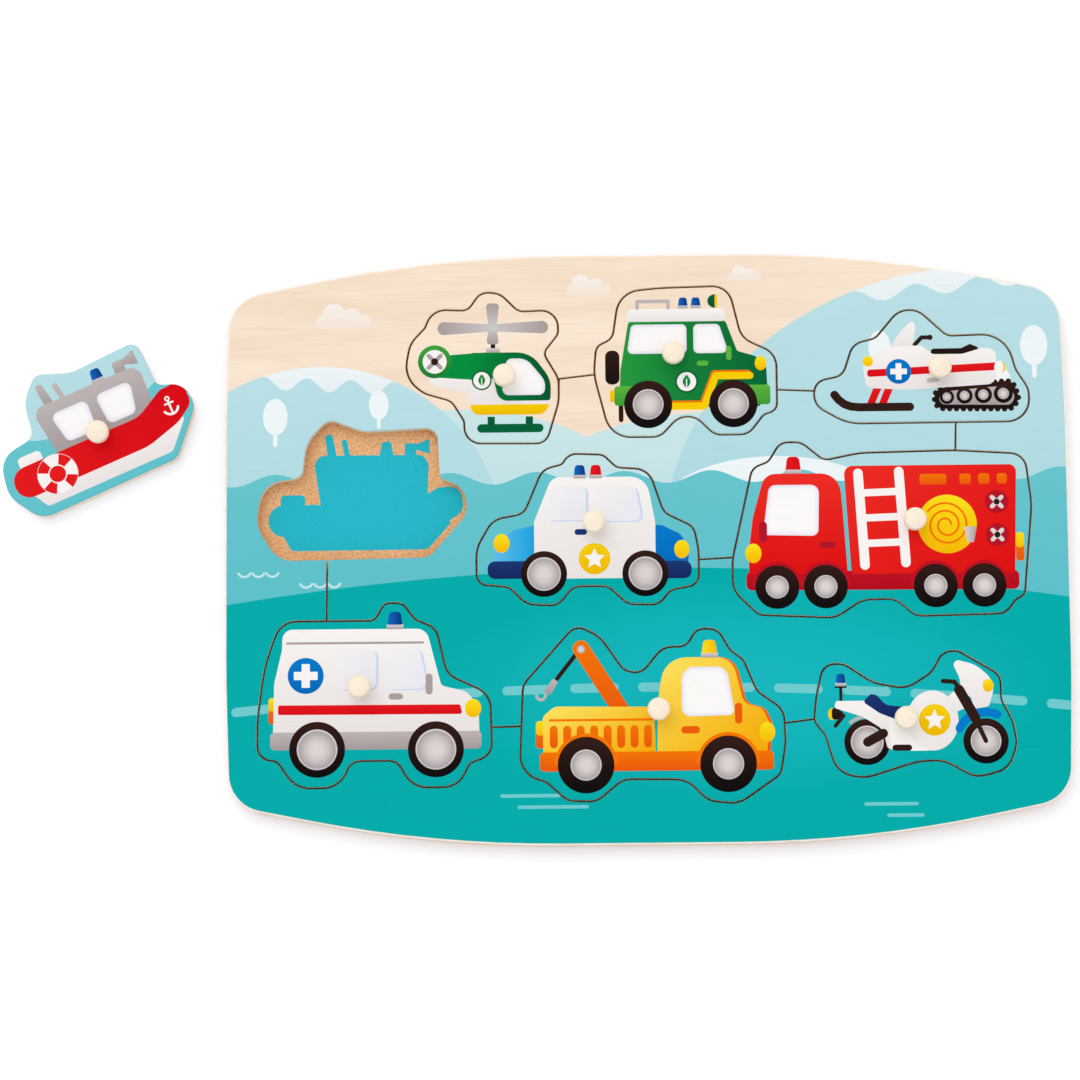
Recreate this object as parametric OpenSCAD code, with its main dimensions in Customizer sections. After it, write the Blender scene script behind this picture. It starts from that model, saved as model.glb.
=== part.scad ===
// Wooden peg puzzle: nine vehicles sawn out of a printed plywood panel, each lifted by a turned peg.
// The panel is glued on a hardboard back, the floor of its pockets. The boat lies beside the board.
// Origin at the middle of the board's underside, +X along its length, +Y to its far side, +Z up.

/* [Board] */
// Length of the board over its bowed ends
board_l = 300; // [285:1:330]
// Width of the board over its bowed long sides
board_w = 211; // [202:1:235]
// Thickness of the printed plywood panel
panel_t = 6; // [5:0.5:10]
// Thickness of the hardboard back
backing_t = 3; // [2:0.5:5]
// Radius of the board's four corners
board_corner_r = 14; // [8:1:20]
// Radius of the bow in the board's long sides
side_bow_r = 450; // [250:10:500]
// Radius of the bend in the board's ends
end_bow_r = 600; // [200:10:1000]
// Radius of the round on the panel's top edge
panel_ease = 1; // [0.4:0.1:2]
// Radius of the round on the back's bottom edge
backing_ease = 0.8; // [0.4:0.1:1.5]

/* [Saw cut] */
// Width of the saw cut that parts a piece from the panel
saw_cut = 0.7; // [0.4:0.1:1.2]
// Radius of the round on the edges of the pieces
piece_ease = 0.5; // [0.3:0.1:1.2]

/* [Peg] */
// Height of a peg above its piece
peg_h = 9; // [7:0.5:14]
// Diameter of a peg's head
peg_head_d = 8; // [7.4:0.2:11]
// Height of a peg's head
peg_head_h = 5.2; // [4:0.2:6]
// Radius of the round under the rim of the head
peg_rim_r = 1; // [0.6:0.1:1.2]
// Radius of the round on top of the head
peg_shoulder_r = 1.2; // [0.8:0.1:2]
// Height that the top of the head is domed by
peg_dome_h = 0.5; // [0.2:0.1:0.8]
// Diameter of a peg's neck
peg_neck_d = 5; // [4.6:0.1:5.4]
// Diameter of the stem that is glued into the piece
peg_stem_d = 4; // [3:0.1:4.5]
// Length of the stem
peg_stem_l = 3.5; // [2.5:0.1:4]
// Bevel on the end of the stem
peg_stem_bevel = 0.4; // [0.2:0.1:0.6]
// Glue gap round the stem
glue_gap = 0.05; // [0.02:0.01:0.1]
// Glue room under the end of the stem
glue_room = 0.4; // [0.2:0.1:0.8]

/* [Piece sizes] */
// Width of the helicopter's saw line
helicopter_w = 54.5; // [50:0.5:58]
// Height of the helicopter's saw line
helicopter_h = 55; // [52:0.5:57]
// Width of the off-road car's saw line
offroad_car_w = 65; // [60:0.5:69]
// Height of the off-road car's saw line
offroad_car_h = 54.5; // [50:0.5:57]
// Width of the snowmobile's saw line
snowmobile_w = 76.5; // [72:0.5:80]
// Height of the snowmobile's saw line
snowmobile_h = 41; // [38:0.5:44]
// Width of the boat's saw line
boat_w = 74; // [70:0.5:77]
// Height of the boat's saw line
boat_h = 49.5; // [46:0.5:52]
// Width of the police car's saw line
police_car_w = 79; // [75:0.5:81]
// Height of the police car's saw line
police_car_h = 54.5; // [51:0.5:57]
// Width of the fire engine's saw line
fire_engine_w = 106.5; // [101:0.5:110]
// Height of the fire engine's saw line
fire_engine_h = 63; // [59:0.5:66]
// Width of the ambulance's saw line
ambulance_w = 83; // [78:0.5:86]
// Height of the ambulance's saw line
ambulance_h = 65.5; // [61:0.5:69]
// Width of the tow truck's saw line
tow_truck_w = 93.5; // [89:0.5:97]
// Height of the tow truck's saw line
tow_truck_h = 62.5; // [58:0.5:65]
// Width of the motorcycle's saw line
motorcycle_w = 71; // [67:0.5:74]
// Height of the motorcycle's saw line
motorcycle_h = 44.5; // [41:0.5:47]

/* [Loose boat] */
// Turn of the loose boat on the table, in degrees
boat_turn = 23.3; // [0:0.1:30]

/* [Hidden] */
// How far a cut runs past the face that it opens, and a band into the core that it goes round
overrun = 1;
// Largest distance between a round and the chords that it is drawn with
chord_sag = 0.04;
// Bands in the quarter round of an eased edge
ease_bands = 2;
// Steps in each round of a peg's profile
peg_steps = 5;
// Largest share of an edge that the rounds at its two ends may take up
edge_use_share = 0.96;
// Largest shares of the board's length and width that a row and a column of vehicles take up
row_use_share = 0.88;
column_use_share = 0.83;

// One quarter of the board's corners: shares of its length and width, and the radius there
board_quarter_shares = [[0.5, 0.22], [0.4955, 0.4305], [0.253, 0.5]];
board_quarter_radii = [end_bow_r, board_corner_r, side_bow_r];

// Corners of each saw line, counter-clockwise: shares of its width and height, and radius as a share of
// its width
helicopter_shares = [
    [0.375, 0.005, 0.11], [0.915, 0, 0.09], [1, 0.275, 0.275], [1, 0.425, 0.145], [0.9, 0.595, 0.055],
    [1, 0.72, 0.075], [0.995, 0.88, 0.11], [0.74, 0.87, 0.09], [0.615, 0.995, 0.13], [0.49, 1, 0.09],
    [0.405, 0.88, 0.075], [0.17, 0.89, 0.13], [0.125, 0.77, 0.055], [0.025, 0.665, 0.185],
    [-0.015, 0.44, 0.185], [0.12, 0.335, 0.185], [0.295, 0.285, 0.09], [0.38, 0.15, 0.075]];
offroad_car_shares = [
    [0.085, 0, 0.145], [0.355, 0, 0.09], [0.505, 0.19, 0.11], [0.655, 0.01, 0.09], [0.84, 0.01, 0.09],
    [0.925, 0.14, 0.045], [1, 0.17, 0.055], [1, 0.545, 0.11], [0.81, 0.65, 0.125], [0.74, 1, 0.11],
    [0.365, 0.99, 0.925], [0.14, 0.965, 0.14], [0.1, 0.655, 0.07], [0.01, 0.605, 0.06],
    [-0.005, 0.42, 0.31]];
snowmobile_shares = [
    [0.155, 0, 0.235], [1, 0.005, 0.105], [1, 0.29, 0.105], [0.94, 0.465, 0.105], [0.895, 0.78, 0.145],
    [0.625, 0.765, 0.065], [0.49, 1, 0.1], [0.4, 0.995, 0.1], [0.29, 0.75, 0.065], [0.185, 0.705, 0.08],
    [0.135, 0.425, 0.065], [0.005, 0.375, 0.065], [-0.005, 0.17, 0.085]];
boat_shares = [
    [0.1, 0, 0.12], [0.82, 0.015, 0.08], [1.01, 0.34, 0.11], [0.98, 0.52, 0.095], [0.87, 0.58, 0.035],
    [0.86, 0.945, 0.055], [0.505, 0.92, 0.16], [0.34, 1.015, 0.055], [0.235, 0.855, 0.19],
    [0.215, 0.59, 0.055], [0.025, 0.55, 0.12], [-0.01, 0.255, 0.16]];
police_car_shares = [
    [0, 0.145, 0.05], [0.145, 0.125, 0.05], [0.225, 0.01, 0.1], [0.365, 0, 0.075], [0.435, 0.125, 0.065],
    [0.59, 0.125, 0.065], [0.68, 0.005, 0.075], [0.82, 0, 0.075], [0.87, 0.095, 0.065], [1, 0.13, 0.055],
    [1, 0.355, 0.19], [0.98, 0.51, 0.065], [0.845, 0.605, 0.075], [0.78, 0.89, 0.09], [0.635, 0.905, 0.05],
    [0.575, 0.99, 0.05], [0.42, 1, 0.065], [0.39, 0.93, 0.03], [0.3, 0.895, 0.075], [0.215, 0.605, 0.065],
    [0.075, 0.57, 0.1], [0, 0.38, 0.15]];
fire_engine_shares = [
    [0, 0.16, 0.085], [0.085, 0.02, 0.045], [0.34, 0, 0.085], [0.43, 0.1, 0.085], [0.54, 0.105, 0.075],
    [0.605, 0.005, 0.065], [0.905, 0.015, 0.055], [0.94, 0.095, 0.03], [0.97, 0.12, 0.03], [1, 0.635, 0.28],
    [0.98, 0.92, 0.055], [0.745, 0.945, 0.94], [0.43, 0.935, 0.28], [0.31, 0.895, 0.04], [0.235, 1, 0.055],
    [0.165, 1, 0.045], [0.125, 0.89, 0.04], [0.07, 0.855, 0.045], [0, 0.335, 0.19]];
ambulance_shares = [
    [0, 0.165, 0.06], [0.085, 0.145, 0.035], [0.165, 0, 0.115], [0.35, 0, 0.11], [0.4, 0.145, 0.06],
    [0.595, 0.145, 0.06], [0.66, 0, 0.11], [0.855, 0, 0.1], [0.905, 0.13, 0.05], [1, 0.17, 0.07],
    [0.995, 0.5, 0.095], [0.81, 0.61, 0.085], [0.765, 0.86, 0.07], [0.675, 0.91, 0.035], [0.62, 1, 0.05],
    [0.545, 1, 0.035], [0.5, 0.905, 0.035], [0.1, 0.905, 0.095], [0.03, 0.66, 0.725], [0, 0.36, 0.48]];
tow_truck_shares = [
    [-0.005, 0.17, 0.095], [0.095, 0.13, 0.055], [0.175, 0.02, 0.075], [0.285, 0.015, 0.075],
    [0.385, 0.14, 0.085], [0.625, 0.135, 0.105], [0.705, 0.015, 0.085], [0.82, -0.005, 0.105],
    [0.98, 0.16, 0.045], [1, 0.335, 0.215], [0.995, 0.525, 0.075], [0.895, 0.63, 0.085],
    [0.845, 0.81, 0.055], [0.795, 0.865, 0.065], [0.75, 0.985, 0.055], [0.67, 0.99, 0.05],
    [0.63, 0.89, 0.045], [0.54, 0.885, 0.075], [0.46, 0.74, 0.055], [0.395, 0.75, 0.065],
    [0.3, 0.955, 0.15], [0.21, 1.015, 0.05], [0.01, 0.68, 0.065]];
motorcycle_shares = [
    [0, 0.45, 0.055], [0.055, 0.335, 0.07], [0.11, 0.035, 0.125], [0.25, -0.005, 0.17],
    [0.515, 0.125, 0.35], [0.64, 0.13, 0.17], [0.795, -0.01, 0.125], [0.96, 0.055, 0.115],
    [1.005, 0.26, 0.14], [0.985, 0.44, 0.21], [0.93, 0.605, 0.085], [0.93, 0.8, 0.07], [0.72, 1, 0.07],
    [0.645, 0.99, 0.07], [0.59, 0.83, 0.115], [0.46, 0.7, 0.14], [0.295, 0.75, 0.21], [0.15, 0.905, 0.1],
    [0.05, 0.9, 0.07], [0.01, 0.63, 0.565]];

// Each vehicle: name, size of its saw line, its corners, and its colour
vehicles = [
    ["helicopter", [helicopter_w, helicopter_h], helicopter_shares, "seagreen"],
    ["offroad_car", [offroad_car_w, offroad_car_h], offroad_car_shares, "green"],
    ["snowmobile", [snowmobile_w, snowmobile_h], snowmobile_shares, "lightblue"],
    ["boat", [boat_w, boat_h], boat_shares, "red"],
    ["police_car", [police_car_w, police_car_h], police_car_shares, "white"],
    ["fire_engine", [fire_engine_w, fire_engine_h], fire_engine_shares, "crimson"],
    ["ambulance", [ambulance_w, ambulance_h], ambulance_shares, "snow"],
    ["tow_truck", [tow_truck_w, tow_truck_h], tow_truck_shares, "gold"],
    ["motorcycle", [motorcycle_w, motorcycle_h], motorcycle_shares, "whitesmoke"]];
count = len(vehicles);
// Rows of vehicles on the board, and vehicles in each row
row_count = 3;
// Middle of each pocket, in the same order: shares of the board's length and width
pocket_shares = [
    [-0.193, 0.308], [0.049, 0.316], [0.329, 0.303], [-0.337, 0.101], [-0.07, 0.031], [0.279, 0.026],
    [-0.323, -0.246], [0.005, -0.284], [0.313, -0.286]];
// Place of each peg, in the same order: shares of its piece's width and height
peg_shares = [
    [0.646, 0.431], [0.432, 0.537], [0.581, 0.462], [0.518, 0.41], [0.53, 0.534], [0.605, 0.542],
    [0.44, 0.539], [0.5215, 0.527], [0.449, 0.46]];
// The vehicle that lies beside the board, and its place there: shares of the board's length and width
loose = 3;
loose_shares = [-0.6607, 0.2205];
// Saw lines from pocket to pocket: a vehicle and shares of its size, twice
saw_link_shares = [
    [0, [0.97, 0.42], 1, [0.02, 0.42]], [1, [0.98, 0.305], 2, [0.02, 0.29]],
    [2, [0.657, 0.03], 5, [0.749, 0.92]], [4, [0.98, 0.292], 5, [0.02, 0.349]],
    [3, [0.332, 0.03], 6, [0.296, 0.88]], [6, [0.98, 0.32], 7, [0.02, 0.445]],
    [7, [0.98, 0.445], 8, [0.02, 0.47]]];

peg_head_r = peg_head_d / 2;
peg_neck_r = peg_neck_d / 2;
peg_stem_r = peg_stem_d / 2;
// The fillet between the neck and the underside of the head
peg_cove_r = peg_head_r - peg_rim_r - peg_neck_r;

// Share of their size that the board leaves to the vehicles: all of it, unless a row or column is too long
fit_shares = [
    min(1, row_use_share * board_l / max([for (k = [0:row_count - 1]) side_by_side(row(k)).x])),
    min(1, column_use_share * board_w / max([for (k = [0:row_count - 1]) side_by_side(column(k)).y]))];

// Vehicles that lie side by side in row k, and one above the other in column k
function row(k) = [for (n = [0:count - 1]) if (floor(n / row_count) == k) n];
function column(k) = [for (n = [0:count - 1]) if (n % row_count == k) n];
// Widths and heights of a list of vehicles, added up
function side_by_side(list) = [for (n = list) 1] * [for (n = list) vehicles[n][1]];
function unit(p) = p / norm(p);
function flat(p) = [p.x, p.y];
function turned(p, a) = [p.x * cos(a) - p.y * sin(a), p.x * sin(a) + p.y * cos(a)];
function beside(c, i) = c[(i + len(c)) % len(c)];
function edge_into(c, i) = flat(c[i]) - flat(beside(c, i - 1));
function edge_from(c, i) = flat(beside(c, i + 1)) - flat(c[i]);

// Angle that an outline turns through at corner i, to the left if positive
function turn_at(c, i) =
    let (u = edge_into(c, i), v = edge_from(c, i))
    atan2(u.x * v.y - u.y * v.x, u * v);

// Length of the edges that the round at corner i takes up
function reach_at(c, i) = c[i].z * tan(abs(turn_at(c, i)) / 2);

// Share of their radius that the edge after corner i leaves to the rounds at its ends
function room_after(c, i) =
    let (j = (i + 1) % len(c))
    min(1, edge_use_share * norm(edge_from(c, i)) / (reach_at(c, i) + reach_at(c, j)));

// Points of the round at corner i, on the outline moved outwards by grow
function round_at(c, i, grow) =
    let (a = turn_at(c, i), side = sign(a), u = unit(edge_into(c, i)),
        r = c[i].z * min(room_after(c, i), room_after(c, (i + len(c) - 1) % len(c))),
        inward = side * [-u.y, u.x],
        middle = flat(c[i]) - u * r * tan(abs(a) / 2) + inward * r,
        steps = max(1, ceil(abs(a) / 2 / acos(1 - chord_sag / r))))
    [for (k = [0:steps]) middle - turned(inward, a * k / steps) * (r + side * grow)];

// Outline with its corners rounded, moved outwards by grow
function rounded(c, grow) = [for (i = [0:len(c) - 1]) each round_at(c, i, grow)];

// The board's corners, from one quarter mirrored round
function board_corners() =
    let (q = [for (i = [0:len(board_quarter_shares) - 1])
            concat(on_board(board_quarter_shares[i]), board_quarter_radii[i])],
        last = len(q) - 1)
    concat(q,
        [for (i = [last:-1:0]) [-q[i].x, q[i].y, q[i].z]],
        [for (p = q) [-p.x, -p.y, p.z]],
        [for (i = [last:-1:0]) [q[i].x, -q[i].y, q[i].z]]);

// Size of vehicle n on the board, and a place on it from shares of that size, measured from its middle
function size(n) = [vehicles[n][1].x * fit_shares.x, vehicles[n][1].y * fit_shares.y];
function on_vehicle(n, share) = [(share.x - 0.5) * size(n).x, (share.y - 0.5) * size(n).y];
function saw_corners(n) = [for (s = vehicles[n][2]) concat(on_vehicle(n, s), s.z * size(n).x)];
function on_board(share) = [share.x * board_l, share.y * board_w];

// Profile points of a round with its middle at p, from angle a to angle b
function profile_round(p, r, a, b) =
    [for (k = [0:peg_steps]) let (t = a + (b - a) * k / peg_steps) p + r * [cos(t), sin(t)]];

// Half section of a peg: stem, neck, cove, round-edged head and low dome
function peg_profile() =
    let (under = peg_h - peg_head_h, flat_r = peg_head_r - peg_shoulder_r, crown = peg_h - peg_dome_h)
    concat(
        [[0, -peg_stem_l], [peg_stem_r - peg_stem_bevel, -peg_stem_l]],
        [[peg_stem_r, peg_stem_bevel - peg_stem_l], [peg_stem_r, 0], [peg_neck_r, 0]],
        profile_round([peg_neck_r + peg_cove_r, under - peg_cove_r], peg_cove_r, 180, 90),
        profile_round([peg_head_r - peg_rim_r, under + peg_rim_r], peg_rim_r, -90, 0),
        profile_round([flat_r, crown - peg_shoulder_r], peg_shoulder_r, 0, 90),
        [for (k = [1:peg_steps]) let (x = flat_r * (1 - k / peg_steps))
            [x, crown + peg_dome_h * (1 - pow(x / flat_r, 2))]]);

// Offsets and heights of the rings of an eased edge, from its foot up, or one ring where it stays square
function low_rings(z, ease, grow) = ease == 0 ? [[grow, z]] :
    [for (k = [0:ease_bands]) let (a = 90 * k / ease_bands)
        [grow - ease * (1 - sin(a)), z + ease * (1 - cos(a))]];
function high_rings(z, ease, grow) = ease == 0 ? [[grow, z]] :
    [for (k = [0:ease_bands]) let (a = 90 * k / ease_bands)
        [grow - ease * (1 - cos(a)), z - ease * (1 - sin(a))]];

// Plate with a rounded outline and quarter-round bottom and top edges: a core with square edges, and a band
// round it that carries the rounds and reaches into the core at mid height
module eased_plate(corners, z_low, z_high, ease_low, ease_high, grow) {
    core = grow - max(ease_low, ease_high);
    section = concat(
        ease_low < ease_high ? [[core, z_low]] : [],
        low_rings(z_low, ease_low, grow), high_rings(z_high, ease_high, grow),
        ease_high < ease_low ? [[core, z_high]] : [],
        [[core - overrun, (z_low + z_high) / 2]]);
    loops = [for (ring = section) [for (p = rounded(corners, ring[0])) [p.x, p.y, ring[1]]]];
    n = len(loops[0]);
    m = len(section);
    polyhedron(
        points = [for (loop = loops) each loop],
        faces = [for (k = [0:m - 1]) for (i = [0:n - 1]) let (j = (i + 1) % n, up = (k + 1) % m)
            [k * n + i, up * n + i, up * n + j, k * n + j]]);
    translate([0, 0, z_low]) linear_extrude(z_high - z_low) polygon(rounded(corners, core));
}

// Moves a vehicle from its own middle to where it is kept: in its pocket, or loose on the table
module kept(n) {
    if (n == loose) translate(on_board(loose_shares)) rotate(boat_turn) children();
    else translate(concat(on_board(pocket_shares[n]), backing_t)) children();
}

// Opening through the panel for vehicle n
module pocket(n) {
    translate(concat(on_board(pocket_shares[n]), backing_t - overrun))
        linear_extrude(panel_t + 2 * overrun) polygon(rounded(saw_corners(n), saw_cut / 2));
}

// Saw line through the panel from one pocket into the next
module saw_link(link) {
    a = on_board(pocket_shares[link[0]]) + on_vehicle(link[0], link[1]);
    b = on_board(pocket_shares[link[2]]) + on_vehicle(link[2], link[3]);
    half = turned(unit(b - a), 90) * saw_cut / 2;
    translate([0, 0, backing_t - overrun])
        linear_extrude(panel_t + 2 * overrun) polygon([a - half, b - half, b + half, a + half]);
}

module tray_panel() {
    color("darkturquoise") difference() {
        eased_plate(board_corners(), backing_t, backing_t + panel_t, 0, panel_ease, 0);
        for (n = [0:count - 1]) pocket(n);
        for (link = saw_link_shares) saw_link(link);
    }
}

module backing_board() {
    color("peru") eased_plate(board_corners(), 0, backing_t, backing_ease, 0, 0);
}

module vehicle_piece(n) {
    color(vehicles[n][3]) kept(n) difference() {
        eased_plate(saw_corners(n), 0, panel_t, piece_ease, piece_ease, -saw_cut / 2);
        translate(concat(on_vehicle(n, peg_shares[n]), panel_t - peg_stem_l - glue_room))
            cylinder(r = peg_stem_r + glue_gap, h = peg_stem_l + glue_room + overrun, $fn = 48);
    }
}

module vehicle_peg(n) {
    color("blanchedalmond") kept(n) translate(concat(on_vehicle(n, peg_shares[n]), panel_t))
        rotate_extrude($fn = 48) polygon(peg_profile());
}

tray_panel();
backing_board();
for (n = [0:count - 1]) {
    vehicle_piece(n);
    vehicle_peg(n);
}
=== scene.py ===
"""Wooden peg puzzle: nine vehicles sawn out of a printed plywood panel that is glued on a hardboard back.

Sizes and places are in millimetres and colours in 0 to 255, as they are drawn. Meshes are in metres, in the
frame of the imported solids. The sheet is the panel as it was printed, before the vehicles were sawn out.
"""

import logging
import math
from dataclasses import dataclass, field
from enum import Enum, auto
from typing import Any, Sequence

import bpy
import numpy as np
from mathutils import Matrix, Vector
from mathutils.geometry import delaunay_2d_cdt


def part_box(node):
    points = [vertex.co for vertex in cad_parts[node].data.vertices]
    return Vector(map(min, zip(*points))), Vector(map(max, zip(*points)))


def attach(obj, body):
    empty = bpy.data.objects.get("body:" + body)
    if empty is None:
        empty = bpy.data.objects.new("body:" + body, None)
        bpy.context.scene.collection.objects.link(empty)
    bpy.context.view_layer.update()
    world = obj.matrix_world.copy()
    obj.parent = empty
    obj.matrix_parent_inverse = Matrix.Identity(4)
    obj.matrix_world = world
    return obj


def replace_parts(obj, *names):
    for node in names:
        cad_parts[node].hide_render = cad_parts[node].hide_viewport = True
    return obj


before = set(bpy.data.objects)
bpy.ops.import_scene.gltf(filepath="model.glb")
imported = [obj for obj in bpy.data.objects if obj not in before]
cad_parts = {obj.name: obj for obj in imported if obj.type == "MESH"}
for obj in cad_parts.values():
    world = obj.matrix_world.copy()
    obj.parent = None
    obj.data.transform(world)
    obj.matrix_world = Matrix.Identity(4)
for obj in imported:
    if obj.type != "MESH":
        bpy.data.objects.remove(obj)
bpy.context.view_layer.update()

log = logging.getLogger("peg_puzzle")

Socket = bpy.types.NodeSocket
Material = bpy.types.Material
Piece = bpy.types.Object
Outline = np.ndarray
Corner = tuple[float, ...]
Colour = tuple[float, float, float]
Spot = tuple[float, float]
Spots = tuple[tuple[float, ...], ...]

MM = 0.001
CORNER_STEPS = 6
EASE_STEPS = 4
EDGE_USE_SHARE = 0.49
WELD = 0.001
SNAP = 0.03
INK_LAYER = "ink"
SHEET_LAYER = "sheet"
ARC_STEPS = 13
ARC_STEPS_MIN = 4
ARC_STEPS_MAX = 200
PANE_STEP = (-0.8, 0.4)
HUB_FACE = 0.92
STAR_WAIST = 0.46
MITRE_LIMIT = 0.6
TURN_STEPS = 28
GLASS_RIM = 2.2
RIM_GUIDES = (0.33, 0.67, 1.0)
ROUND_GUIDES = (0.25, 0.45, 0.6, 0.72, 0.82, 0.9, 0.96)
QUARTER = np.linspace(0, np.pi / 2, EASE_STEPS + 1)[1:]


def linear(colour: Sequence[float]) -> np.ndarray:
    """Colour of 0 to 255 as linear light, by the sRGB curve: a short straight foot, then a power of 2.4."""
    share = np.asarray(colour, float) / 255
    return np.where(share <= 0.04045, share / 12.92, ((share + 0.055) / 1.055) ** 2.4)


def rgba(colour: Colour) -> tuple[float, ...]:
    """Colour of 0 to 255 as the four numbers of a colour socket."""
    return (*linear(colour).tolist(), 1.0)


# Outlines


def rounded(corners: Sequence[Corner], fillet: float) -> Outline:
    """Polygon with its corners rounded off.

    Each corner becomes an arc that touches both of its edges: its middle lies on the bisector, at the
    radius over the sine of the half angle, and it takes up less than half of either edge.

    Args:
        corners: x, y and, where it isn't fillet, the radius of each corner.
        fillet: radius of the other corners.

    Returns:
        Points in the order of the corners.
    """
    at = np.array([c[:2] for c in corners], float)
    radius = np.array([c[2] if len(c) > 2 else fillet for c in corners], float)
    back, ahead = np.roll(at, 1, 0) - at, np.roll(at, -1, 0) - at
    back_l, ahead_l = np.linalg.norm(back, axis=1), np.linalg.norm(ahead, axis=1)
    back, ahead = back / back_l[:, None], ahead / ahead_l[:, None]
    half = np.arccos(np.clip((back * ahead).sum(1), -1, 1)) / 2
    reach = np.minimum(radius / np.tan(half), EDGE_USE_SHARE * np.minimum(back_l, ahead_l))
    radius = reach * np.tan(half)
    bisector = (back + ahead) / np.maximum(np.linalg.norm(back + ahead, axis=1), WELD)[:, None]
    middle = at + bisector * (radius / np.sin(half))[:, None]
    first, last = at + back * reach[:, None] - middle, at + ahead * reach[:, None] - middle
    start = np.arctan2(first[:, 1], first[:, 0])
    sweep = np.arctan2(last[:, 1], last[:, 0]) - start
    sweep = (sweep + np.pi) % (2 * np.pi) - np.pi
    angle = start[:, None] + sweep[:, None] * np.linspace(0, 1, CORNER_STEPS + 1)
    arcs = middle[:, None] + radius[:, None, None] * np.stack([np.cos(angle), np.sin(angle)], -1)
    return arcs.reshape(-1, 2)


def arc(x: float, y: float, rx: float, ry: float, start: float, stop: float) -> Outline:
    """Points of an ellipse's arc about x, y from angle start to stop in degrees, closer on a larger one.

    Args:
        x: its middle, across.
        y: its middle, up.
        rx: half of the width.
        ry: half of the height.
        start: first angle.
        stop: last angle.

    Returns:
        Points from the first angle to the last.
    """
    steps = ARC_STEPS * math.sqrt(max(rx, ry)) * abs(stop - start) / 360
    angle = np.radians(np.linspace(start, stop, int(np.clip(steps, ARC_STEPS_MIN, ARC_STEPS_MAX)) + 1))
    return np.column_stack([x + rx * np.cos(angle), y + ry * np.sin(angle)])


def ellipse(x: float, y: float, rx: float, ry: float) -> Outline:
    """Closed ellipse about x, y."""
    return arc(x, y, rx, ry, 0, 360)[:-1]


def capsule(x0: float, y0: float, x1: float, y1: float, width: float) -> Outline:
    """Bar from one point to another with half-round ends.

    Args:
        x0: start, across.
        y0: start, up.
        x1: end, across.
        y1: end, up.
        width: its width.

    Returns:
        Points round the bar.
    """
    turn = math.degrees(math.atan2(y1 - y0, x1 - x0))
    return np.concatenate([
        arc(x1, y1, width / 2, width / 2, turn - 90, turn + 90),
        arc(x0, y0, width / 2, width / 2, turn + 90, turn + 270)])


def evenly(loop: Outline, count: int) -> Outline:
    """Points at equal steps along a loop, read off its length so far.

    Args:
        loop: a closed loop.
        count: how many points.

    Returns:
        The points, from the start of the loop.
    """
    closed = np.concatenate([loop, loop[:1]])
    run = np.concatenate([[0.0], np.cumsum(np.linalg.norm(np.diff(closed, axis=0), axis=1))])
    at = np.linspace(0, run[-1], count, endpoint=False)
    return np.column_stack([np.interp(at, run, closed[:, 0]), np.interp(at, run, closed[:, 1])])


def signed_area(loop: Outline) -> float:
    """Area inside a loop, positive if it runs counter-clockwise, by the shoelace sum."""
    ahead = np.roll(loop, -1, 0)
    return float((loop[:, 0] * ahead[:, 1] - loop[:, 1] * ahead[:, 0]).sum()) / 2


def mitres(loop: Outline) -> np.ndarray:
    """Step at each point that moves a loop's edges one unit to their right: the sum of the two edges'
    normals, over half of its own square.

    Args:
        loop: a closed loop.

    Returns:
        One step for each point.
    """
    edge = np.roll(loop, -1, 0) - loop
    normal = np.column_stack([edge[:, 1], -edge[:, 0]]) / np.linalg.norm(edge, axis=1)[:, None]
    both = normal + np.roll(normal, 1, 0)
    return 2 * both / np.maximum((both ** 2).sum(1), MITRE_LIMIT)[:, None]


def distance_to(loop: Outline, at: np.ndarray) -> np.ndarray:
    """Distance of points to the nearest edge of a loop, by dropping each point on every edge at once.

    Args:
        loop: a closed loop.
        at: places, in an array of any shape.

    Returns:
        A distance for each place.
    """
    start, edge = loop, np.roll(loop, -1, 0) - loop
    span = at[..., None, :] - start
    share = np.clip((span * edge).sum(-1) / np.maximum((edge ** 2).sum(-1), WELD ** 2), 0, 1)
    return np.linalg.norm(span - share[..., None] * edge, axis=-1).min(-1)


# Inks and patches


class Blend(Enum):
    """How an ink runs from its near to its far colour over a patch."""

    FLAT = auto()
    DOWN = auto()
    ACROSS = auto()
    SLANT = auto()
    ROUND = auto()
    RIM = auto()


@dataclass(frozen=True)
class Ink:
    """Printing ink: the colours that it runs between, and how much of the wood it covers."""

    near: Colour
    far: Colour
    cover: float = 1.0

    def turned(self) -> "Ink":
        """The same ink, run the other way."""
        return Ink(self.far, self.near, self.cover)


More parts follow.
